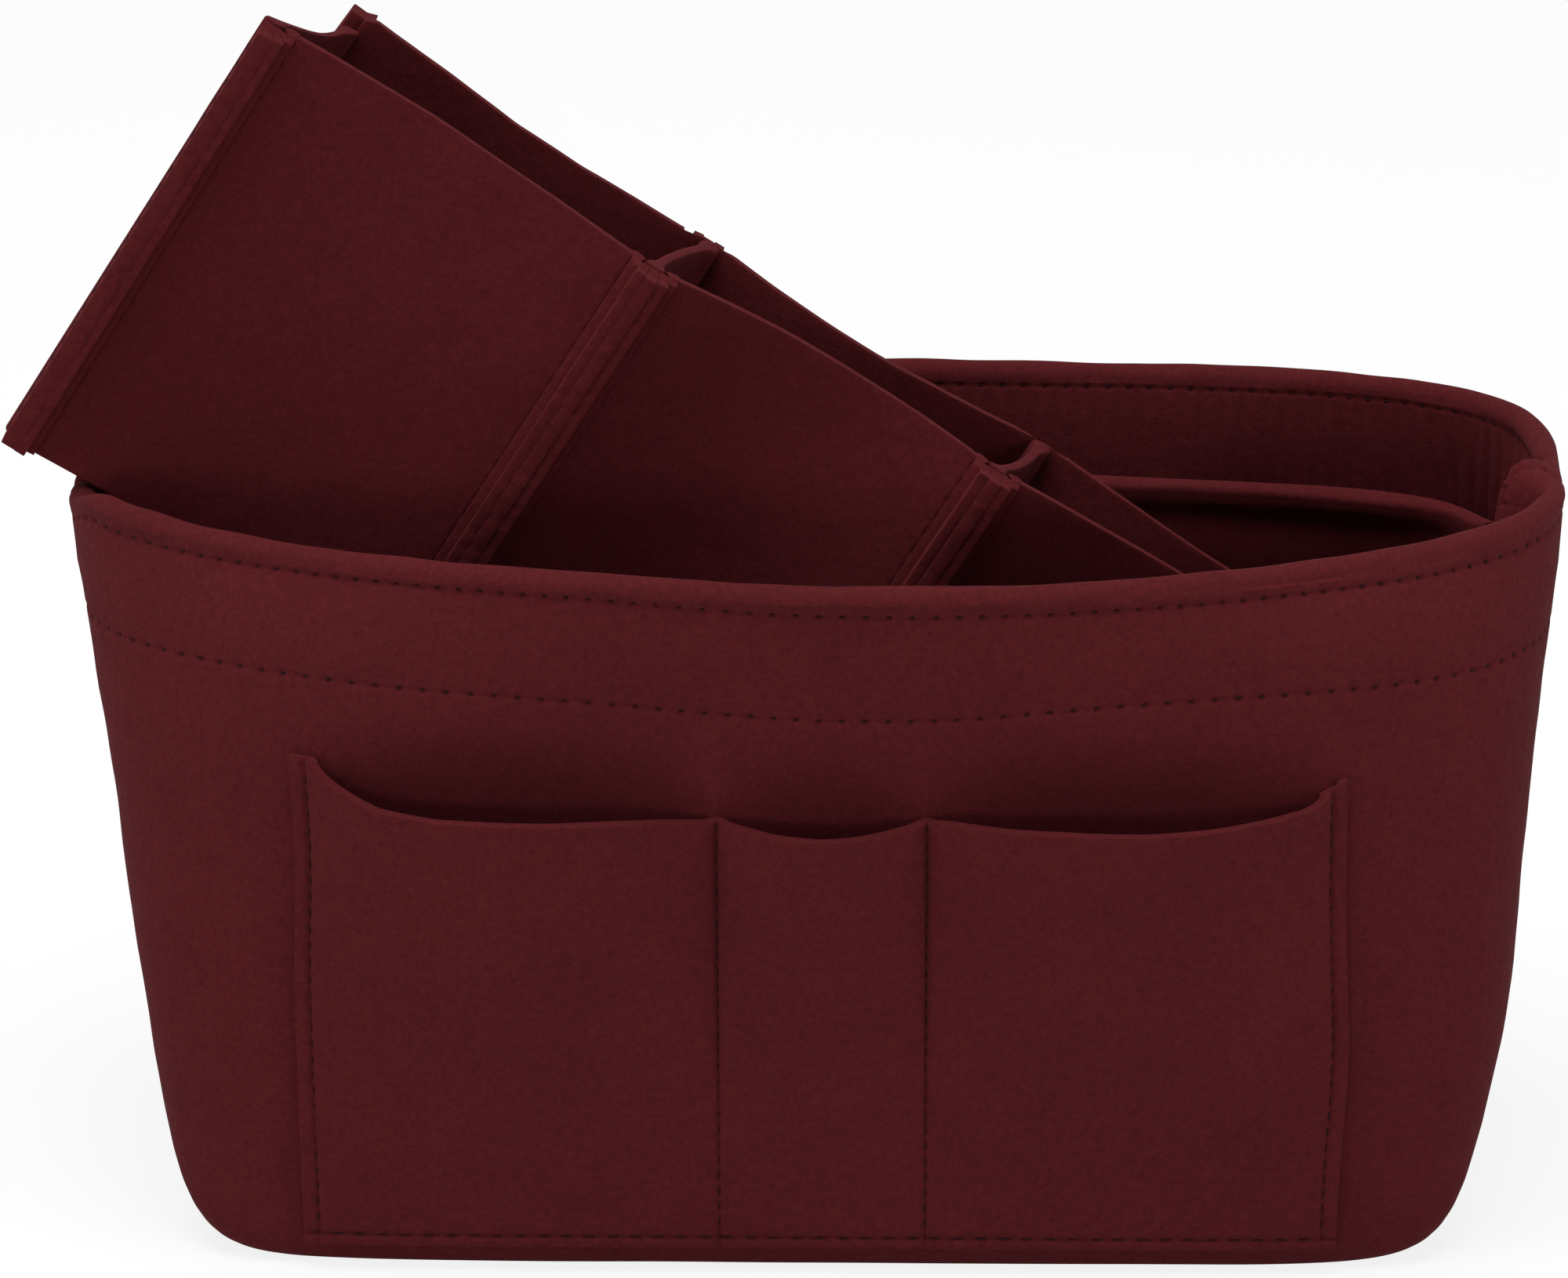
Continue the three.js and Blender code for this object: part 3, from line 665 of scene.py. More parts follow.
def shell_points(side):
    """One half of the body: up from its foot, over the rim, and down inside to the hem's foot"""
    s = scene_group("body")
    radius = s.felt + GAP / 2
    shoulder, hem_foot = s.height - radius, s.height - s.hem
    angles, run = rim_columns(side)
    columns = np.arange(len(angles))
    seam = np.minimum(columns, columns[::-1]) * run / columns[-1]
    ends = np.abs(np.cos(angles))
    upper, lower = (s.height - row_drop(row, angles, side) for row in ("upper", "lower"))
    middle = (lower + upper) / 2
    swell = ROLL_SWELL * (1 - 0.9 * smooth(ends, 0.90, 1.0))
    ridge = (band(seam, *SEAM_RIDGE) - band(seam, *SEAM_NOTCH)) * (np.cos(angles) > 0)
    rows = []

    def add(points, normals, move):
        rows.append(points + normals * move[:, None])

    def sewn(z):
        return stitch_dents(columns, z - upper) + stitch_dents(columns, z - lower)

    foot = tuck_height(angles)
    for turn in np.radians(FOOT_TURNS):
        c, k = math.cos(turn), math.sin(turn)
        p, n = wall(angles, side, foot * (1 - c), tuck=1 - k)
        add(p, n * k - UP * c, waves(p, *FOOT_WAVES) * k - band(seam, *SEAM_GROOVE))
    heights = [mix(foot, lower - ROW_APPROACH[0], share) for share in np.linspace(0, 1, 25)]
    upper_rows = row_heights(middle, upper, shoulder - ROLL_APPROACH)
    for z in heights + row_heights(lower - ROW_APPROACH[1], lower, middle) + upper_rows[1:]:
        p, n = wall(angles, side, z)
        move = waves(p, *WALL_WAVES) * smooth(z, 0.01, 0.05) + waves(p, *WALL_GRAIN)
        rolled = np.clip((z - upper) / (shoulder - upper), 0, 1)
        between = np.clip((z - lower) / (upper - lower), 0, 1)
        move += swell * np.sin(rolled * math.pi / 2) + BAND_SWELL * np.sin(math.pi * between)
        if side < 0:
            move -= mouth_dent(p[:, 0], z)
        add(p, n, move - band(seam, *SEAM_GROOVE) - sewn(z))
    for turn in np.radians(np.linspace(0, 180, 11)):
        c, k = math.cos(turn), math.sin(turn)
        p, n = wall(angles, side, shoulder, radius * (c - 1))
        p[:, 2] += radius * k
        move = swell * math.cos(turn / 2) ** 2 + waves(p, *RIM_WAVES) - band(seam, *RIM_GROOVE)
        add(p, n * c + UP * k, move + ridge * smooth(turn, math.radians(80), math.pi))
    inside = (row_heights(hem_foot + HEM_FLARE + 0.0002, lower, middle)[:-1] + upper_rows)[::-1]
    for z in inside + [hem_foot + HEM_FLARE, hem_foot]:
        flare = HEM_FLARE * (1 - smooth(z, hem_foot, hem_foot + 3 * HEM_FLARE))
        p, n = wall(angles, side, z, -2 * radius - flare)
        gather = GATHER_DEPTH * smooth(ends, *GATHER_ENDS) * smooth(upper - z, 0.001, 0.010)
        move = gather * np.sin(columns * GATHER_PACE + waves(p, *GATHER_WAVES)) + waves(p, *HEM_WAVES)
        move += ridge + band(seam, *HEM_LUMP) * smooth(upper - z, -0.004, 0.006)
        add(p, -n, move - band(seam, *HEM_GROOVE) - sewn(z))
    points = settle(np.stack(rows, 1))
    points[..., 1] += side * mix(-SEAM_LAP, GAP / 2, smooth(seam, 0, SEAM_CLOSING))[:, None]
    return points if side < 0 else points[::-1]


def base_points():
    """Outline of the base panel, which laps into the walls' feet"""
    halves = []
    for side in (-1, 1):
        angles = even_angles(side, BASE_COLUMNS, BASE_LEVEL)[0][:-1]
        angles = angles if side < 0 else math.pi - angles
        halves.append(wall(angles, side, 0, BASE_LAP, 1)[0][:, :2])
    return np.concatenate(halves)


class OrganizerMakeBody(bpy.types.Operator):
    """Make the two felt halves of the body and the base panel"""
    bl_idname = "organizer.make_body"
    bl_label = "Body"

    def execute(self, context):
        felt = context.scene.organizer_body.felt
        for name, side in (("shell_front", -1), ("shell_back", 1)):
            finish_felt(felt_sheet(shell_points(side), felt), name, "body", "body", name)
        outline = base_points()
        deselect()
        bpy.ops.mesh.primitive_cylinder_add(vertices=len(outline), radius=1, depth=felt, end_fill_type="NGON")
        obj = bpy.context.active_object
        for vertex in obj.data.vertices:
            k = round(math.atan2(vertex.co.y, vertex.co.x) / (2 * math.pi) * len(outline)) % len(outline)
            vertex.co.x, vertex.co.y = outline[(k + len(outline) // 2) % len(outline)]
            vertex.co.z += felt / 2
        bpy.ops.object.mode_set(mode="EDIT")
        bpy.ops.mesh.select_all(action="SELECT")
        bpy.ops.mesh.normals_make_consistent(inside=False)
        bpy.ops.object.mode_set(mode="OBJECT")
        apply_modifier(obj, "BEVEL", width=BASE_EDGE, segments=2, limit_method="ANGLE",
                       angle_limit=math.radians(60))
        reshape(obj, settle)
        finish_felt(obj, "base_panel", "body", "body", "base_panel")
        return {"FINISHED"}


# Front pockets


def pocket_lines():
    s = scene_group("pockets")
    return [s.left + POCKET_ROW, s.seam_left, s.seam_right, s.right - POCKET_ROW]


def foot_row():
    return scene_group("pockets").foot + POCKET_ROW - FOOT_ROW_DROP


def front_place(x, z, offset):
    """Places off the front wall's face at given places along the front, and their outward normals"""
    half, depth, n = plan_at(z, -1)
    share = np.abs(x) / half
    y = -depth * (1 - share ** n) ** (1 / n)
    nx = np.sign(x) * share ** (n - 1) / half
    ny = -((np.abs(y) / depth) ** (n - 1)) / depth
    size = np.hypot(nx, ny)
    normal = np.stack([nx / size, ny / size, 0 * x], -1)
    return np.stack([x, y, z + 0 * x], -1) + normal * offset[..., None], normal


def pocket_top(x):
    return scene_group("pockets").mouth + np.mean([table_value(MOUTH_LINE, x + shift)
                                                   for shift in MOUTH_SOFTNESS], axis=0)


def pocket_stand(x, z):
    """How far the panel stands off the wall"""
    s = scene_group("pockets")
    lines = np.array(pocket_lines())
    cell = (x > lines[1]).astype(int) + (x > lines[2]).astype(int)
    across = np.clip((x - lines[cell]) / (lines[cell + 1] - lines[cell]), 0, 1)
    up = smooth(z, s.foot + POCKET_ROW, s.mouth)
    return GAP + np.array(POCKET_BULGES)[cell] * np.sin(math.pi * across) ** 0.8 * up


def pocket_stations():
    """Places along the panel, close together at its rows of stitching"""
    s = scene_group("pockets")
    marks = [line + np.array(POCKET_LINES) for line in pocket_lines()]
    xs = [s.left, s.left + POCKET_EDGE]
    for mark, following in zip(marks, marks[1:]):
        low, high = mark[-1], following[0]
        count = max(2, round((high - low) / POCKET_COLUMN))
        xs.extend([*mark, *np.linspace(low, high, count + 1)[1:-1]])
    return np.array([*xs, *marks[-1], s.right - POCKET_EDGE, s.right])


def pocket_points():
    s = scene_group("pockets")
    stations = pocket_stations()
    low = [s.foot, s.foot + POCKET_HEEL, *(foot_row() + line for line in FOOT_LINES)]
    count = round((s.mouth - low[-1]) / (s.side_pitch / 4))
    levels = [np.full(stations.shape, z) for z in low]
    levels += [mix(low[-1], pocket_top(stations), share) for share in np.linspace(0, 1, count + 1)[1:]]
    z = np.stack(levels, 1)
    x = np.broadcast_to(stations[:, None], z.shape)
    p, n = front_place(x, z, pocket_stand(x, z) + s.felt)
    move = waves(p, *POCKET_WAVES) * smooth(z, 0.012, 0.04) + waves(p, *POCKET_GRAIN)
    side_pits = pits(z - foot_row(), s.side_pitch, POCKET_PIT)
    for line in pocket_lines():
        move -= sewn_groove(POCKET_SEWN, x - line, side_pits)
    move -= sewn_groove(FOOT_SEWN, z - foot_row(), pits(x, s.foot_pitch, POCKET_PIT))
    return settle(p + n * move[..., None])


class OrganizerMakePockets(bpy.types.Operator):
    """Make the felt panel of the three front pockets"""
    bl_idname = "organizer.make_pockets"
    bl_label = "Front pockets"

    def execute(self, context):
        obj = felt_sheet(pocket_points(), context.scene.organizer_pockets.felt, POCKET_ROUND, 1)
        finish_felt(obj, "front_pockets", "body", "body", "front_pocket_panel")
        return {"FINISHED"}


# Inner pocket


def inner_angles():
    """Angles of the pocket's left end, its two seams and its right end"""
    half = plan_at(scene_group("body").height - INNER_DROP, 1)[0]
    return [math.pi - INNER_END] + [math.atan2(1, x / half) for x in INNER_SEAMS] + [INNER_END]


def inner_place(angle, z, depth):
    """Inside the back wall at a height, also where the wall already turns under"""
    foot = tuck_height(angle)
    turn = np.where(z < foot, np.arccos(np.clip(1 - z / foot, -1, 1)), math.pi / 2)
    p, n = wall(angle, 1, z, -depth / np.sin(turn), 1 - np.sin(turn))
    return p, -n


def inner_stand(across, z):
    """How far the pocket's back stands off the wall, at a share of its cell and a height"""
    s = scene_group("body")
    radius = s.felt + GAP / 2
    top, hem_foot = s.height - INNER_DROP, s.height - s.hem
    past = smooth(z, hem_foot - INNER_STEP, hem_foot - HEM_FLARE)
    seat = INNER_SEAT + mix(s.felt, 2 * radius + HEM_FLARE, past)
    reach, power = INNER_LEAN
    lean = np.clip((z - top + radius + reach) / reach, 0, 1) ** power
    gape = INNER_GAPE * np.abs(np.sin(math.pi * across)) ** 0.6
    return seat + gape * mix(smooth(z, INNER_FOOT, top), lean, INNER_LEAN_SHARE)


def inner_points():
    """The inner pocket: up its back, over its leaning mouth, and down to its hem's foot"""
    lines = inner_angles()
    angles, across = [], []
    for k, count in enumerate(INNER_COLUMNS):
        shares = np.linspace(0, 1, count + 1)[0 if k == 0 else 1:]
        angles.extend(mix(lines[k], lines[k + 1], shares))
        across.extend(shares)
    angles, across = np.array(angles), np.array(across)
    roll = scene_group("pockets").felt + GAP / 2
    top = scene_group("body").height - INNER_DROP
    shoulder, fold = top - roll, top - INNER_HEM
    rows = []

    def add(z, depth, facing, lift=0.0):
        z = np.full(angles.shape, z)
        p, n = inner_place(angles, z, inner_stand(across, z) + depth)
        p[:, 2] += lift
        rows.append(p + n * (facing * (waves(p, *INNER_WAVES) + waves(p, *INNER_GRAIN)))[:, None])

    def tilt(z, step=0.0005):
        return np.arctan((inner_stand(across, z) - inner_stand(across, z - step)) / step)

    for z in [*np.linspace(INNER_FOOT, shoulder - 0.008, 32), *np.linspace(shoulder - 0.006, shoulder, 5)]:
        add(z, 0, -1)
    c, k = np.cos(tilt(shoulder)), np.sin(tilt(shoulder))
    for turn in np.radians(np.linspace(0, 180, 13)):
        back = math.copysign(abs(math.cos(turn)) ** (2 / INNER_SQUARENESS), math.cos(turn))
        up = math.sin(turn) ** (2 / INNER_SQUARENESS)
        add(shoulder, roll * (1 / c - back * c + up * k), -math.cos(turn), roll * (back * k + up * c))
    for z in np.linspace(shoulder, fold, 13)[1:]:
        add(z, 2 * roll / np.cos(tilt(z)), 1)
    return settle(np.stack(rows, 1))


class OrganizerMakeInnerPocket(bpy.types.Operator):
    """Make the felt pocket inside the back wall"""
    bl_idname = "organizer.make_inner_pocket"
    bl_label = "Inner pocket"

    def execute(self, context):
        obj = felt_sheet(inner_points()[::-1], context.scene.organizer_pockets.felt)
        finish_felt(obj, "inner_pocket", "body", "body", "inner_back_pocket")
        return {"FINISHED"}


# Tray


def pivot_inset():
    return scene_group("tray").felt / 2 + GAP


def strip_spacing():
    t = scene_group("tray")
    return 2 * pivot_inset() + t.wall * math.cos(t.skew)


def strip_shift():
    t = scene_group("tray")
    return t.wall * math.sin(t.skew)


def tray_roots():
    return np.concatenate([[0], np.cumsum(TRAY_CELLS)])


def tray_turn():
    return np.array(Matrix.Rotation(scene_group("tray").tilt, 3, "Y")).T


def tray_place(p):
    """From the tray laid out flat to its place in the body; its top sags, and its left end skews"""
    t = scene_group("tray")
    back = np.clip(p[..., 1] / strip_spacing(), 0, 1)
    along = p[..., 0] - strip_shift() * back
    up = np.clip(p[..., 2], 0, 1) / t.height
    out = p.copy()
    near, far = (table_value(TOP_SAGS[strip], along) for strip in STRIPS)
    out[..., 2] -= mix(near, far, back) * up ** 3
    out[..., 0] += END_SHIFT * back * np.clip(1 - along / tray_roots()[1], 0, 1) * up ** 1.5
    return out @ tray_turn() + np.array(t.corner)


def root_place(strip, index):
    """Where a strip's felt lies beside a wall's root"""
    t = scene_group("tray")
    face = strip_spacing() if strip > 0 else 0.0
    return {"root": tray_roots()[index] + (strip_shift() if strip > 0 else 0), "face": face,
            "middle": face + strip * t.felt / 2, "outer": face + strip * t.felt}


def fray(v, seed):
    """How far a cut edge stands out or in along its length"""
    line = np.stack([v, 0 * v, 0 * v], -1)
    return waves(line, *FRAY_FINE, seed) + waves(line, *FRAY_LONG, seed + 3)


def panel_bow(strip, cell, u, v):
    """How far a panel bends into its cell at a place along it and up it"""
    t = scene_group("tray")
    inset = pivot_inset() + t.felt / 2
    low, high = root_place(strip, cell)["root"] + inset, root_place(strip, cell + 1)["root"] - inset
    share = np.clip((u - low) / (high - low), 0, 1)
    return BOWS[strip][cell] * np.sin(math.pi * share) * (0.92 + 0.08 * v / t.height)


def rounded_line(corners, radius, step):
    """Points along a line of corners with its bends rounded, closer together near the bends"""
    out = [corners[0]]
    for a, b, c in zip(corners, corners[1:], corners[2:]):
        into, away = (b - a) / np.linalg.norm(b - a), (c - b) / np.linalg.norm(c - b)
        turn = math.acos(np.clip(into @ away, -1, 1))
        cut = radius * math.tan(turn / 2)
        start, stop = b - into * cut, b + away * cut
        for share in np.linspace(0, 1, 7):
            out.append((1 - share) ** 2 * start + 2 * share * (1 - share) * b + share ** 2 * stop)
    out.append(corners[-1])
    line = [out[0]]
    for a, b in zip(out[:-1], out[1:]):
        size = np.linalg.norm(b - a)
        if size > 6 * step:
            near = np.arange(1, 9) * step / 3
            middle = np.linspace(near[-1], size - near[-1], round((size - 2 * near[-1]) / step) + 1)
            shares = np.concatenate([near[:-1], middle, size - near[:-1][::-1], [size]]) / size
        else:
            shares = np.linspace(0, 1, max(1, round(size / step)) + 1)[1:]
        line.extend(a + (b - a) * share for share in shares)
    return np.array(line)


def panel_points(strip, cell):
    """The side of a tray panel that faces the front, with its two turned-out fins, column by column"""
    t = scene_group("tray")
    left, right = root_place(strip, cell), root_place(strip, cell + 1)
    inset, seed = pivot_inset() + t.felt / 2, 7 * cell + 3 * strip
    bends = [np.array([left["root"] + inset, left["middle"]]),
             np.array([right["root"] - inset, right["middle"]])]
    tips = [b + np.array([0.0, strip * FIN]) for b in bends]
    line = rounded_line([tips[0], *bends, tips[1]], BEND_RADIUS, PANEL_COLUMN)
    run = direction(np.vstack([line[1:], line[-1:]]) - np.vstack([line[:1], line[:-1]]))
    line = line + np.stack([run[:, 1], -run[:, 0]], -1) * t.felt / 2
    v = np.linspace(0, t.height, ROWS_UP)
    u, w = (line[:, k][:, None] + 0 * v for k in (0, 1))
    share = np.clip((u - bends[0][0]) / (bends[1][0] - bends[0][0]), 0, 1)
    w = w - strip * panel_bow(strip, cell, u, v)
    if strip < 0:
        pit = pits(v - FIN_FOOT, FIN_PITCH, FIN_PIT)
        for row in (left["root"] + CREASE, right["root"] - CREASE):
            w += sewn_groove(CREASE_SEWN, u - row, pit) * (share > 0) * (share < 1)
    for end, near in ((0, 1), (-1, -2)):
        w[end] += strip * fray(v, seed + end)
        w[near] += 0.4 * strip * fray(v, seed + end)
    flat = np.stack([u, w, v + 0 * u], -1)
    soft = np.sin(math.pi * share) ** 0.5
    flat[..., 1] += (waves(flat, *PANEL_WAVES, seed) + waves(flat, *PANEL_GRAIN, seed + 1)) * soft
    flat[..., 2] += waves(flat, *TOP_WAVES, seed + 2) * (v / t.height > 0.99)
    return flat


def fin_drop(strip, index, outward, v):
    """How far the top of the turned-out felt lies below the panels' top"""
    t = scene_group("tray")
    return FIN_DROPS[strip][index] * smooth(outward, *FIN_DROP_START) * smooth(v, t.height * 0.9, t.height)


def panel_sheet(strip, cell):
    """One tray panel; its cell side has nearly square bends"""
    t = scene_group("tray")
    obj = felt_sheet(panel_points(strip, cell), t.felt, FELT_EDGE)
    depth = t.felt / 2 + BEND_RADIUS
    reach = pivot_inset() + depth

    def shape(p):
        flat = p.copy()
        for index, sign in ((cell, 1), (cell + 1, -1)):
            place = root_place(strip, index)
            du = (p[:, 0] - place["root"]) * sign - reach
            dw = (p[:, 1] - place["face"]) * strip - depth
            size = np.hypot(du, dw) + 1e-9
            square = (np.abs(du) / size) ** BEND_SQUARENESS + (np.abs(dw) / size) ** BEND_SQUARENESS
            grow = (square ** (-1 / BEND_SQUARENESS) - 1) * smooth(size, BEND_CORE, depth)
            grow = grow * (du < 0) * (dw < 0) * (size < 1.5 * depth)
            flat[:, 0] += sign * du * grow
            flat[:, 1] += strip * dw * grow
            flat[:, 2] -= fin_drop(strip, index, dw + depth, p[:, 2]) * (du < DROP_REACH)
        return tray_place(flat)

    reshape(obj, shape)
    return obj


def wall_sheet(index):
    """A wall across the tray, slightly bowed and dished, with a rounded bead at each seam"""
    t = scene_group("tray")
    half = t.felt / 2
    s = np.linspace(-BEAD_REACH * BEAD, t.wall + BEAD_REACH * BEAD, WALL_GRID[0])
    ss, vv = np.meshgrid(s, np.linspace(0, t.height, WALL_GRID[1]), indexing="ij")
    obj = felt_sheet(np.stack([half + 0 * ss, -ss, vv], -1)[::-1], t.felt, WALL_EDGE)

    def shape(p):
        run = np.minimum(-p[:, 1], t.wall + p[:, 1])
        round_end = np.sqrt(np.maximum(BEAD ** 2 - np.minimum(run, 0) ** 2, 0))
        full = np.where(run < 0, round_end, half + (BEAD - half) * hump(run, BEAD_NECK))
        arch = np.sin(math.pi * np.clip(-p[:, 1] / t.wall, 0, 1))
        up = p[:, 2] / t.height
        x = p[:, 0] * full / half + WALL_BOWS[index] * arch
        x += waves(p, *CROSS_WAVES, 41 + index) * smooth(up, 0.5, 1)
        front = 1 - smooth(-p[:, 1] / t.wall, 0.2, 1.0)
        z = p[:, 2] - (WALL_DISHES[index] * arch ** 0.7 + WALL_DROPS[index] * front) * up ** 6
        c, k = math.cos(t.skew), math.sin(t.skew)
        root = tray_roots()[index] + strip_shift()
        return tray_place(np.stack([x * c + p[:, 1] * k + root,
                                    p[:, 1] * c - x * k + strip_spacing() - pivot_inset(), z], -1))

    reshape(obj, shape)
    return obj


def tab_sheet(strip, index):
    """The sewn-in edge of a wall, between or beside the fins"""
    t = scene_group("tray")
    place = root_place(strip, index)
    thickness = t.felt + TAB_SWELL * (1 if 0 < index < len(WALLS) - 1 else 2)
    s, v = np.linspace(BEAD / 2, FIN + t.felt / 2, 9), np.linspace(0, t.height, ROWS_UP)
    ss, vv = np.meshgrid(s, v, indexing="ij")
    flat = np.stack([place["root"] + strip * thickness / 2 + 0 * ss, place["face"] + strip * ss, vv], -1)
    flat[-1, :, 1] += strip * fray(v, 60 + index)
    flat[-2, :, 1] += 0.4 * strip * fray(v, 60 + index)
    flat[..., 2] -= (CROSS_WAVES[0] + waves(flat, *CROSS_WAVES, 51 + index)) * (vv > t.height * 0.99)
    flat[..., 2] -= fin_drop(strip, index, ss, vv)
    return felt_sheet(tray_place(flat), thickness, FELT_EDGE)


class OrganizerMakeTray(bpy.types.Operator):
    """Make the loose tray: two strips of three panels and four walls across"""
    bl_idname = "organizer.make_tray"
    bl_label = "Tray"

    def execute(self, context):
        for strip, side in STRIPS.items():
            pieces = {f"tray_{side}_panel_{label}": (panel_sheet, cell) for cell, label in enumerate(CELLS)}
            pieces |= {f"{name}_{side}_tab": (tab_sheet, index) for index, name in enumerate(WALLS)}
            for name, (make, index) in pieces.items():
                finish_felt(make(strip, index), name, "tray", f"tray_{side}", name)
        for index, name in enumerate(WALLS):
            finish_felt(wall_sheet(index), name, "tray", name, name)
        return {"FINISHED"}


# Stitching


def rim_stitches(side, row):
    """Stitches of one rim row, outside and inside, each in its own dent"""
    s = scene_group("body")
    angles, _ = rim_columns(side)
    picks = angles[STITCH_COLUMNS * np.arange(1, (len(angles) - 1) // STITCH_COLUMNS)]
    ahead = picks + (angles[1] - angles[0]) * 0.5
    sets = []
    for offset, face in ((0.0, 1), (-2 * (s.felt + GAP / 2), -1)):
        p, n = wall(picks, side, s.height - row_drop(row, picks, side), offset)
        q, _ = wall(ahead, side, s.height - row_drop(row, ahead, side), offset)
        p, out = settle(p), n * face
        along = direction(settle(q) - p)
        p[:, 1] += side * GAP / 2
        p -= out * THREAD_SINK["rim"]
        if face > 0:
            p += out * waves(p, *WALL_WAVES)[:, None]
        sets.append((p, along, out))
    return stitch_pieces(*(np.concatenate(parts) for parts in zip(*sets)), *RIM_STITCH)


def pocket_stitches(x, z, ahead_x, ahead_z, sink=0.0):
    """Stitches in the pockets' face, each turned towards a place just ahead of it"""
    felt = scene_group("pockets").felt
    p, n = front_place(x, z, pocket_stand(x, z) + felt - THREAD_SINK["pocket"])
    q, _ = front_place(ahead_x, ahead_z, pocket_stand(ahead_x, ahead_z) + felt - THREAD_SINK["pocket"])
    return stitch_pieces(settle(p) - n * sink, direction(q - p), n, *POCKET_STITCH)


def pocket_side_stitches(line):
    s = scene_group("pockets")
    low, high = s.foot + scene_group("body").felt, pocket_top(line) - ROW_ENDS["pocket side"]
    steps = [(level - foot_row()) / s.side_pitch for level in (low, high)]
    z = foot_row() + s.side_pitch * np.arange(math.ceil(steps[0]), math.floor(steps[1]) + 1)
    x = np.full(z.shape, line)
    return pocket_stitches(x, z, x, z + ALONG_STEP, THREAD_SINK["pocket side"])


def pocket_foot_stitches():
    s = scene_group("pockets")
    lines = pocket_lines()
    end = ROW_ENDS["pocket foot"]
    steps = [(lines[0] + end) / s.foot_pitch, (lines[3] - end) / s.foot_pitch]
    x = s.foot_pitch * np.arange(math.ceil(steps[0]), math.floor(steps[1]) + 1)
    z = np.full(x.shape, foot_row())
    return pocket_stitches(x, z, x + ALONG_STEP, z)


def inner_seam_stitches(angle):
    """The inner pocket's seam shows on the outside of the back wall and on the pocket's own face"""
    s, q = scene_group("body"), scene_group("pockets")
    z = np.arange(INNER_FOOT + ROW_ENDS["inner"], s.height - s.hem, INNER_PITCH)
    a = np.full(z.shape, angle)
    outside, out = wall(a, 1, z, -THREAD_SINK["inner"])
    outside = settle(outside)
    outside[:, 1] += GAP / 2
    inside, face = inner_place(a, z, inner_stand(0 * z, z) + q.felt + THREAD_SINK["inner"])
    lean = direction(settle(wall(a, 1, z + ALONG_STEP)[0]) - settle(wall(a, 1, z)[0]))
    return stitch_pieces(np.concatenate([outside, settle(inside)]),
                         np.concatenate([lean, np.tile(UP, (len(z), 1))]),
                         np.concatenate([out, face]), *INNER_STITCH)


def fin_stitches(strip):
    """Rows through the fins of one strip of the tray, which show in the creases beside them"""
    t = scene_group("tray")
    places, outs = [], []
    v = FIN_FOOT + FIN_PITCH * np.arange(int((t.height - ROW_ENDS["fin"]) / FIN_PITCH) + 1)
    for index in range(len(WALLS)):
        place = root_place(strip, index)
        for sign in (-1, 1):
            cell = index if sign > 0 else index - 1
            if 0 <= cell < len(CELLS):
                u = np.full(v.shape, place["root"] + sign * CREASE)
                sink = THREAD_SINK["crease"] if strip < 0 else 0
                w = place["outer"] - strip * (panel_bow(strip, cell, u, v) + sink)
                normal = (0.0, strip, 0.0)
            else:
                u = np.full(v.shape, place["root"] + sign * (t.felt + 2 * TAB_SWELL) / 2)
                w = np.full(v.shape, place["outer"] + strip * FIN_SIDE)
                normal = (sign, 0.0, 0.0)
            places.append(np.stack([u, w, v], -1))
            outs.append(np.tile(normal, (len(v), 1)))
    p = tray_place(np.concatenate(places))
    return stitch_pieces(p, np.tile(UP, (len(p), 1)) @ tray_turn(), np.concatenate(outs) @ tray_turn(),
                         *FIN_STITCH)


class OrganizerMakeStitching(bpy.types.Operator):
    """Sew the rim, the pockets and the tray's fins"""
    bl_idname = "organizer.make_stitching"
    bl_label = "Stitching"

    def execute(self, context):
        made = {f"rim_thread_{row}_{label}": rim_stitches(side, row)
                for row in FRONT_ROWS for side, label in STRIPS.items()}
        for label, line in zip(("side_left", "seam_left", "seam_right", "side_right"), pocket_lines()):
            made[f"pocket_thread_{label}"] = pocket_side_stitches(line)
        made["pocket_foot_thread"] = pocket_foot_stitches()
        for label, angle in zip(("left", "right"), inner_angles()[1:3]):
            made[f"inner_pocket_thread_{label}"] = inner_seam_stitches(angle)
        for node, obj in made.items():
            finish_piece(obj, f"stitches_{node}", [thread_material()], "body", [node])
        for strip, side in STRIPS.items():
            finish_piece(fin_stitches(strip), f"stitches_tray_{side}", [thread_material()], f"tray_{side}",
                         [])
        return {"FINISHED"}


# Stage


def seen_by(tree, *kinds):
    """1 for the given kinds of rays, 0 for others"""
    rays = shader_node(tree, "LightPath").outputs
    value = rays[f"Is {kinds[0]} Ray"]
    for kind in kinds[1:]:
        value = math_node(tree, "MAXIMUM", value, rays[f"Is {kind} Ray"])
    return value


def blended(tree, share, first, second):
    return shader_node(tree, "MixShader", {0: share, 1: first, 2: second}).outputs[0]


def floor_material(tone):
    """Pale floor: nearly white to the camera, but it keeps the insert's shadow"""
    material, tree = new_material("pale floor")
    if tree is None:
        return material
    share = math_node(tree, "MULTIPLY", seen_by(tree, "Camera", "Glossy"), FLOOR_GLOW_SHARE)
    diffuse = shader_node(tree, "BsdfDiffuse", {"Color": (*tone, 1)}).outputs[0]
    glow = shader_node(tree, "Emission", {"Color": WHITE, "Strength": FLOOR_GLOW}).outputs[0]
    shader_node(tree, "OutputMaterial", {"Surface": blended(tree, share, diffuse, glow)})
    return material


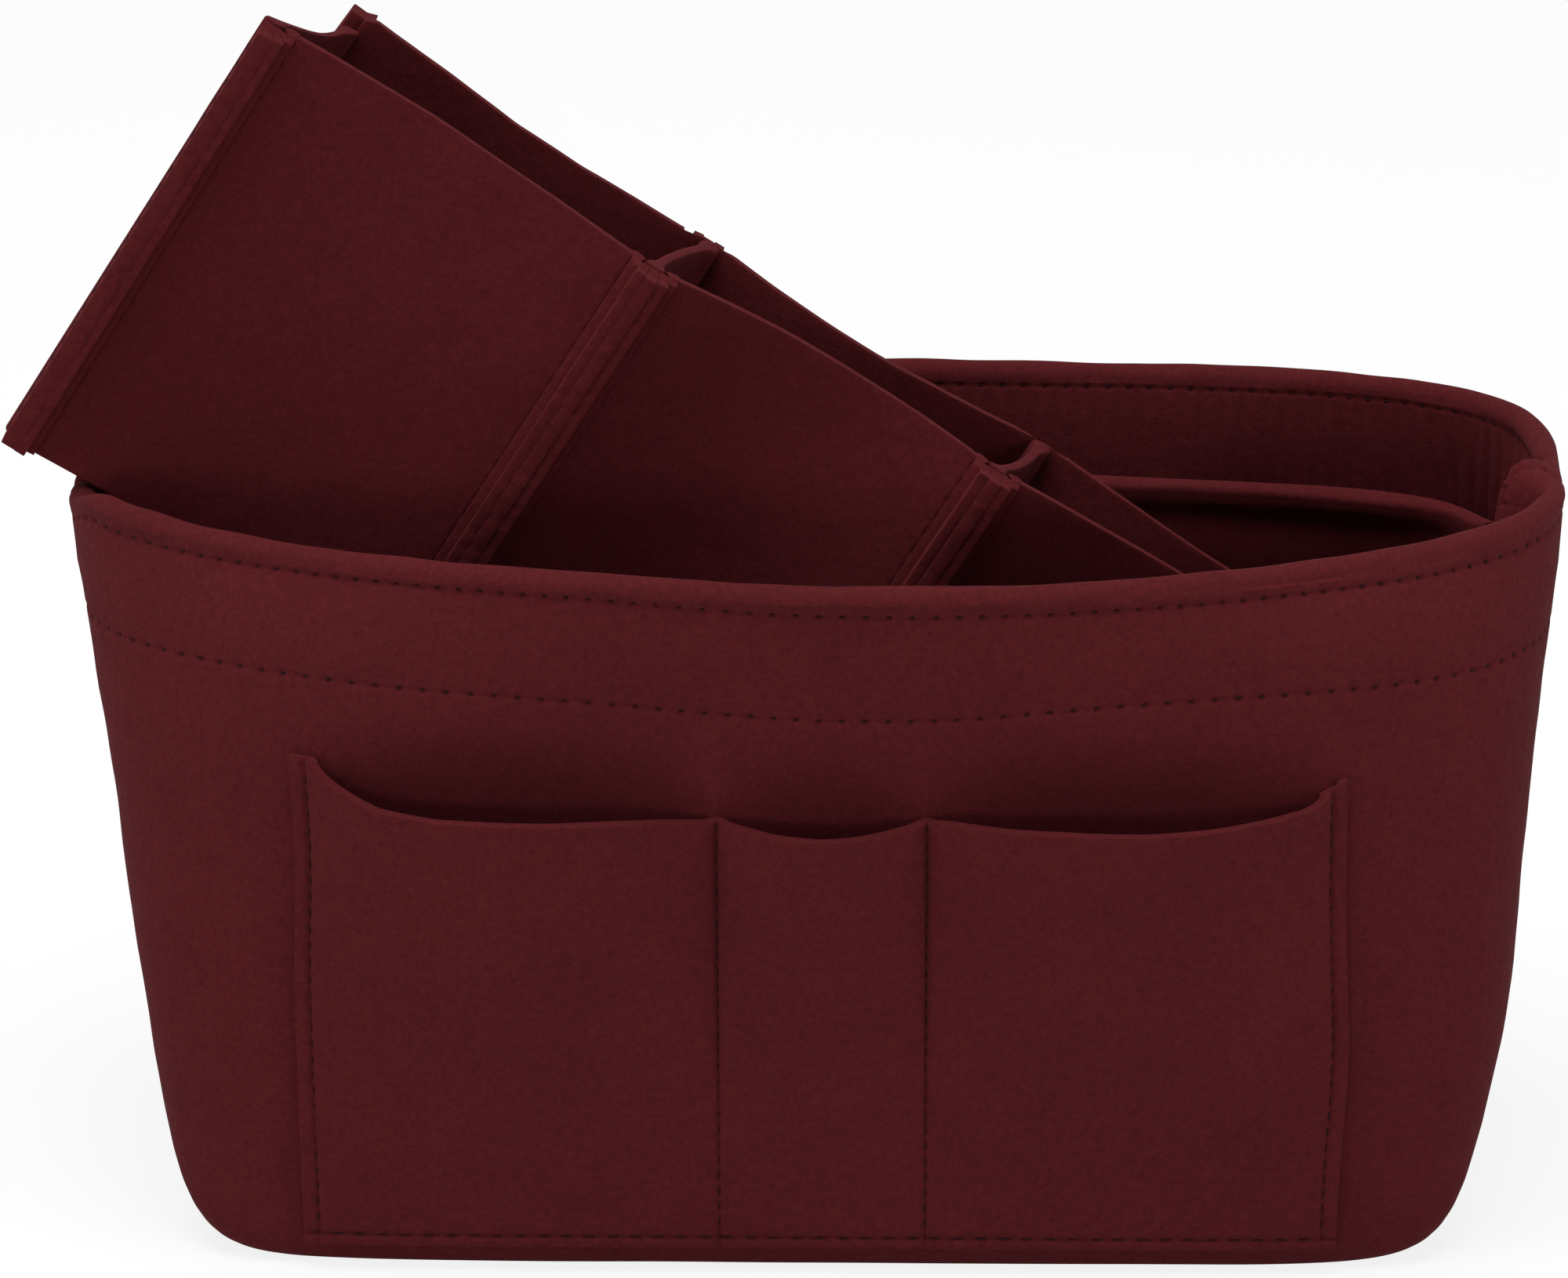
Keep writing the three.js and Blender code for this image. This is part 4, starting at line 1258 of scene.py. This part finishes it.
def stage_world():
    """A room that is white to look at but gives less light"""
    world = bpy.data.worlds.new("pale room")
    bpy.context.scene.world = world
    world.use_nodes = True
    tree = world.node_tree
    tree.nodes.clear()
    lit, seen = (shader_node(tree, "Background", {"Color": WHITE, "Strength": strength}).outputs[0]
                 for strength in (ROOM_LIGHT, 1.0))
    share = seen_by(tree, "Camera", "Glossy", "Transmission")
    shader_node(tree, "OutputWorld", {"Surface": blended(tree, share, lit, seen)})


def add_lamp(name, place, size, power):
    deselect()
    bpy.ops.object.light_add(type="AREA", location=place)
    light = bpy.context.active_object
    light.name = name
    light.data.shape = "RECTANGLE"
    light.data.size, light.data.size_y = size
    light.data.energy = power
    light.rotation_euler = (Vector(LAMP_AIM) - Vector(place)).to_track_quat("-Z", "Y").to_euler()


class OrganizerMakeStage(bpy.types.Operator):
    """Set up the floor, the soft lamps and the camera"""
    bl_idname = "organizer.make_stage"
    bl_label = "Stage"

    def execute(self, context):
        s = context.scene.organizer_stage
        deselect()
        bpy.ops.mesh.primitive_plane_add(size=FLOOR_SIZE, location=(0, 0, 0))
        floor = bpy.context.active_object
        floor.name = "floor"
        floor.data.materials.append(floor_material(s.floor_colour))
        stage_world()
        for name, settings in LAMPS.items():
            add_lamp(name, *settings)
        bpy.ops.object.camera_add()
        camera = bpy.context.active_object
        camera.name = "photo camera"
        e, a = s.elevation, s.azimuth
        look = Vector((-math.sin(a) * math.cos(e), math.cos(a) * math.cos(e), -math.sin(e)))
        camera.location = Vector(s.aim) - look * s.distance
        camera.rotation_euler = Euler((math.pi / 2 - e, 0, a), "XYZ")
        camera.data.sensor_width = 36
        camera.data.lens = s.lens
        camera.data.clip_start, camera.data.clip_end = 0.05, 30
        context.scene.camera = camera
        context.scene.view_settings.view_transform = "Standard"
        return {"FINISHED"}


GROUPS = {"organizer_body": OrganizerBody, "organizer_pockets": OrganizerPockets,
          "organizer_tray": OrganizerTray, "organizer_stage": OrganizerStage}
OPERATORS = (OrganizerMakeBody, OrganizerMakePockets, OrganizerMakeInnerPocket, OrganizerMakeTray,
             OrganizerMakeStitching, OrganizerMakeStage)


class OrganizerPanel(bpy.types.Panel):
    """Organizer's sizes, colours and pieces"""
    bl_idname = "VIEW3D_PT_organizer"
    bl_label = "Felt organizer insert"
    bl_space_type = "VIEW_3D"
    bl_region_type = "UI"
    bl_category = "Organizer"

    def draw(self, context):
        for name, group in GROUPS.items():
            column = self.layout.column(align=True)
            column.label(text=group.__doc__)
            for key in group.__annotations__:
                column.prop(getattr(context.scene, name), key)
        for operator in OPERATORS:
            self.layout.operator(operator.bl_idname)


def register():
    for group in (*GROUPS.values(), *OPERATORS, OrganizerPanel):
        bpy.utils.register_class(group)
    for name, group in GROUPS.items():
        setattr(bpy.types.Scene, name, PointerProperty(type=group))


def unregister():
    for name in GROUPS:
        delattr(bpy.types.Scene, name)
    for group in (OrganizerPanel, *reversed(OPERATORS), *reversed(tuple(GROUPS.values()))):
        bpy.utils.unregister_class(group)


def main():
    register()
    for operator in OPERATORS:
        family, name = operator.bl_idname.split(".")
        getattr(getattr(bpy.ops, family), name)()


if __name__ == "__main__":
    main()
